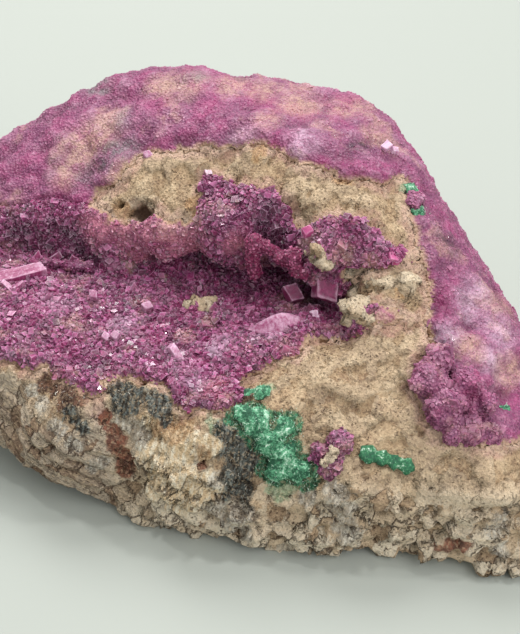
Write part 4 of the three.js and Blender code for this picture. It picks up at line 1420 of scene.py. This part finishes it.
green = malachite("malachite", MALACHITE_DARK, MALACHITE_MID, MALACHITE_PALE)
deep_green = malachite("deep_malachite", MALACHITE_DARK, MALACHITE_DEEP, MALACHITE_PALE)
hair = mineral_hair("mineral_hair")


def add(piece, slot, *nodes):
    """Fixes a finished piece to the frame, with the CAD nodes that it stands for."""
    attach(piece, "root")
    if nodes:
        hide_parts(*nodes)


def scattered(bed, name, material, sizes, where="growing", share=1.0, sink=0.1, tilt=1.2):
    """One layer of small shapes on a piece."""
    ways = {"Where": where, "Share": share, "Sink": sink, "Tilt": tilt}
    return grown(bed, scatter, name, material, **{**sizes, "Shape": moulds[sizes["Shape"]], **ways})


def druse(stone, name, crust_sizes, layers, ground, crystals, **ways):
    """The crust of one druse and the crystals on it, where the attribute of its name says that it grows."""
    skin = grown(stone, crust, name + "_skin", ground, Where=name, **crust_sizes)
    store(skin.data, "growing", read(skin.data, "outer") * read(skin.data, name))
    grown_layers = [scattered(skin, name + "_layer", crystals, sizes, **ways) for sizes in layers]
    return skin, joined(name + "_crystals", grown_layers)


def lumps(name, mesh, ground, layers, material, relief=GROWTH_RELIEF, **ways):
    """Worn lumps with small shapes all over them."""
    form = fine_form(mesh, GROWTH_CELL, GROWTH_WEAR)
    bed = grown(form, weather, name, ground, **relief)
    removed(form)
    store_all_over(bed.data, growing=1.0, coarse=1.0, covered=1.0, sandy=0.5)
    # How far the surface faces up, which the finishes turn into painted light on the tops and painted shade
    # underneath.
    store(bed.data, "raised", 0.15 + 0.8 * by_vertex(bed.data, "normal")[:, 2].clip(0, 1))
    return joined(name, [bed] + [scattered(bed, "layer", material, sizes, **ways) for sizes in layers])


def worn_stone():
    """The broken block, marked with what grows on it and then weathered."""
    form = fine_form(merged_copy("host_stone"), STONE_CELL, STONE_WEAR)
    paint(form.data)
    stone = grown(form, weather, "stone", sandy, **STONE_RELIEF)
    removed(form)
    return stone


def grow_on_stone():
    """The block with its two druses, its loose sand, its hairs and its green film."""
    stone = worn_stone()
    pocket = druse(stone, "pocket", POCKET_CRUST, POCKET_LAYERS, deep_ground, deep_rhombs)
    rim = druse(stone, "rim", RIM_CRUST, RIM_LAYERS, pale_ground, pale_rhombs, sink=0.28, tilt=0.6)
    sand = scattered(stone, "sand", loose_sand, LOOSE_SAND, where="sandy", sink=0.0, tilt=1.5)
    hairs = scattered(stone, "hairs", hair, HAIRS, where="hairy", sink=0.0, tilt=1.5)
    film = scattered(stone, "green_film", green, MALACHITE_PILE, where="filmed", sink=0.0, tilt=1.3)
    add(stone, "sandy_dolomite", "host_stone")
    add(sand, "sandy_dolomite")
    add(hairs, "sandy_dolomite")
    add(film, "malachite")
    for (skin, crystals), slot, node in (
        (pocket, "cobaltoan_dolomite_deep", "pocket_druse"),
        (rim, "cobaltoan_dolomite_pale", "rim_druse"),
    ):
        add(skin, slot, node)
        add(crystals, slot)


def set_single_crystals():
    """The large crystals with the curved one, and the hot pink ones."""
    large = joined("large_crystals", [large_crystal(*sizes) for sizes in LARGE_CRYSTALS.values()])
    large = joined("large_crystals", [large, lens_crystal(*LENS_CRYSTAL)])
    hot = joined("hot_crystals", [large_crystal(*sizes) for sizes in HOT_CRYSTALS.values()])
    for crystals, finish in ((large, large_rhombs), (hot, hot_rhombs)):
        crystals.data.materials.append(finish)
        add(crystals, "cobaltoan_dolomite_deep")


def set_lumps():
    """The sandy lumps, the outer druse's knobs, the curled lumps and the islet on the front."""
    angular = lump_mesh(SAND_LUMPS, facets=2, dents=0.7)
    sandy_lumps = lumps("sand_lumps", angular, sandy, [LOOSE_SAND], loose_sand, LUMP_RELIEF, tilt=1.5)
    knobs = lumps("knobs", lump_mesh(RIM_KNOBS), pale_ground, KNOB_LAYERS, pale_rhombs)
    lip = lumps("lip_lumps", lump_mesh(LIP_LUMPS), lip_ground, CURLED_LAYERS, lip_rhombs)
    shelf = lumps("shelf_lumps", lump_mesh(SHELF_LUMPS), deep_ground, CURLED_LAYERS, deep_rhombs)
    islet = lumps("islet", merged_copy("islet_druse"), deep_ground, KNOB_LAYERS, deep_rhombs)
    add(sandy_lumps, "sandy_dolomite")
    add(knobs, "cobaltoan_dolomite_pale")
    add(lip, "cobaltoan_dolomite_deep")
    add(shelf, "cobaltoan_dolomite_deep")
    add(islet, "cobaltoan_dolomite_deep", "islet_druse")


def set_malachite():
    """The five green growths, of which the stick is the deeper green one with the shorter fibres."""
    for place in ("patch", "tuft", "stick", "right", "ridge"):
        node = "malachite_" + place
        pile, finish = (MALACHITE_STUBBLE, deep_green) if place == "stick" else (MALACHITE_PILE, green)
        growth = lumps("green_" + place, merged_copy(node), finish, [pile], finish)
        add(growth, "malachite", node)


grow_on_stone()
set_single_crystals()
set_lumps()
set_malachite()

# The moulds have been copied, and aren't part of the cluster.
for group in moulds.values():
    removed(*group.objects)
    bpy.data.collections.remove(group)
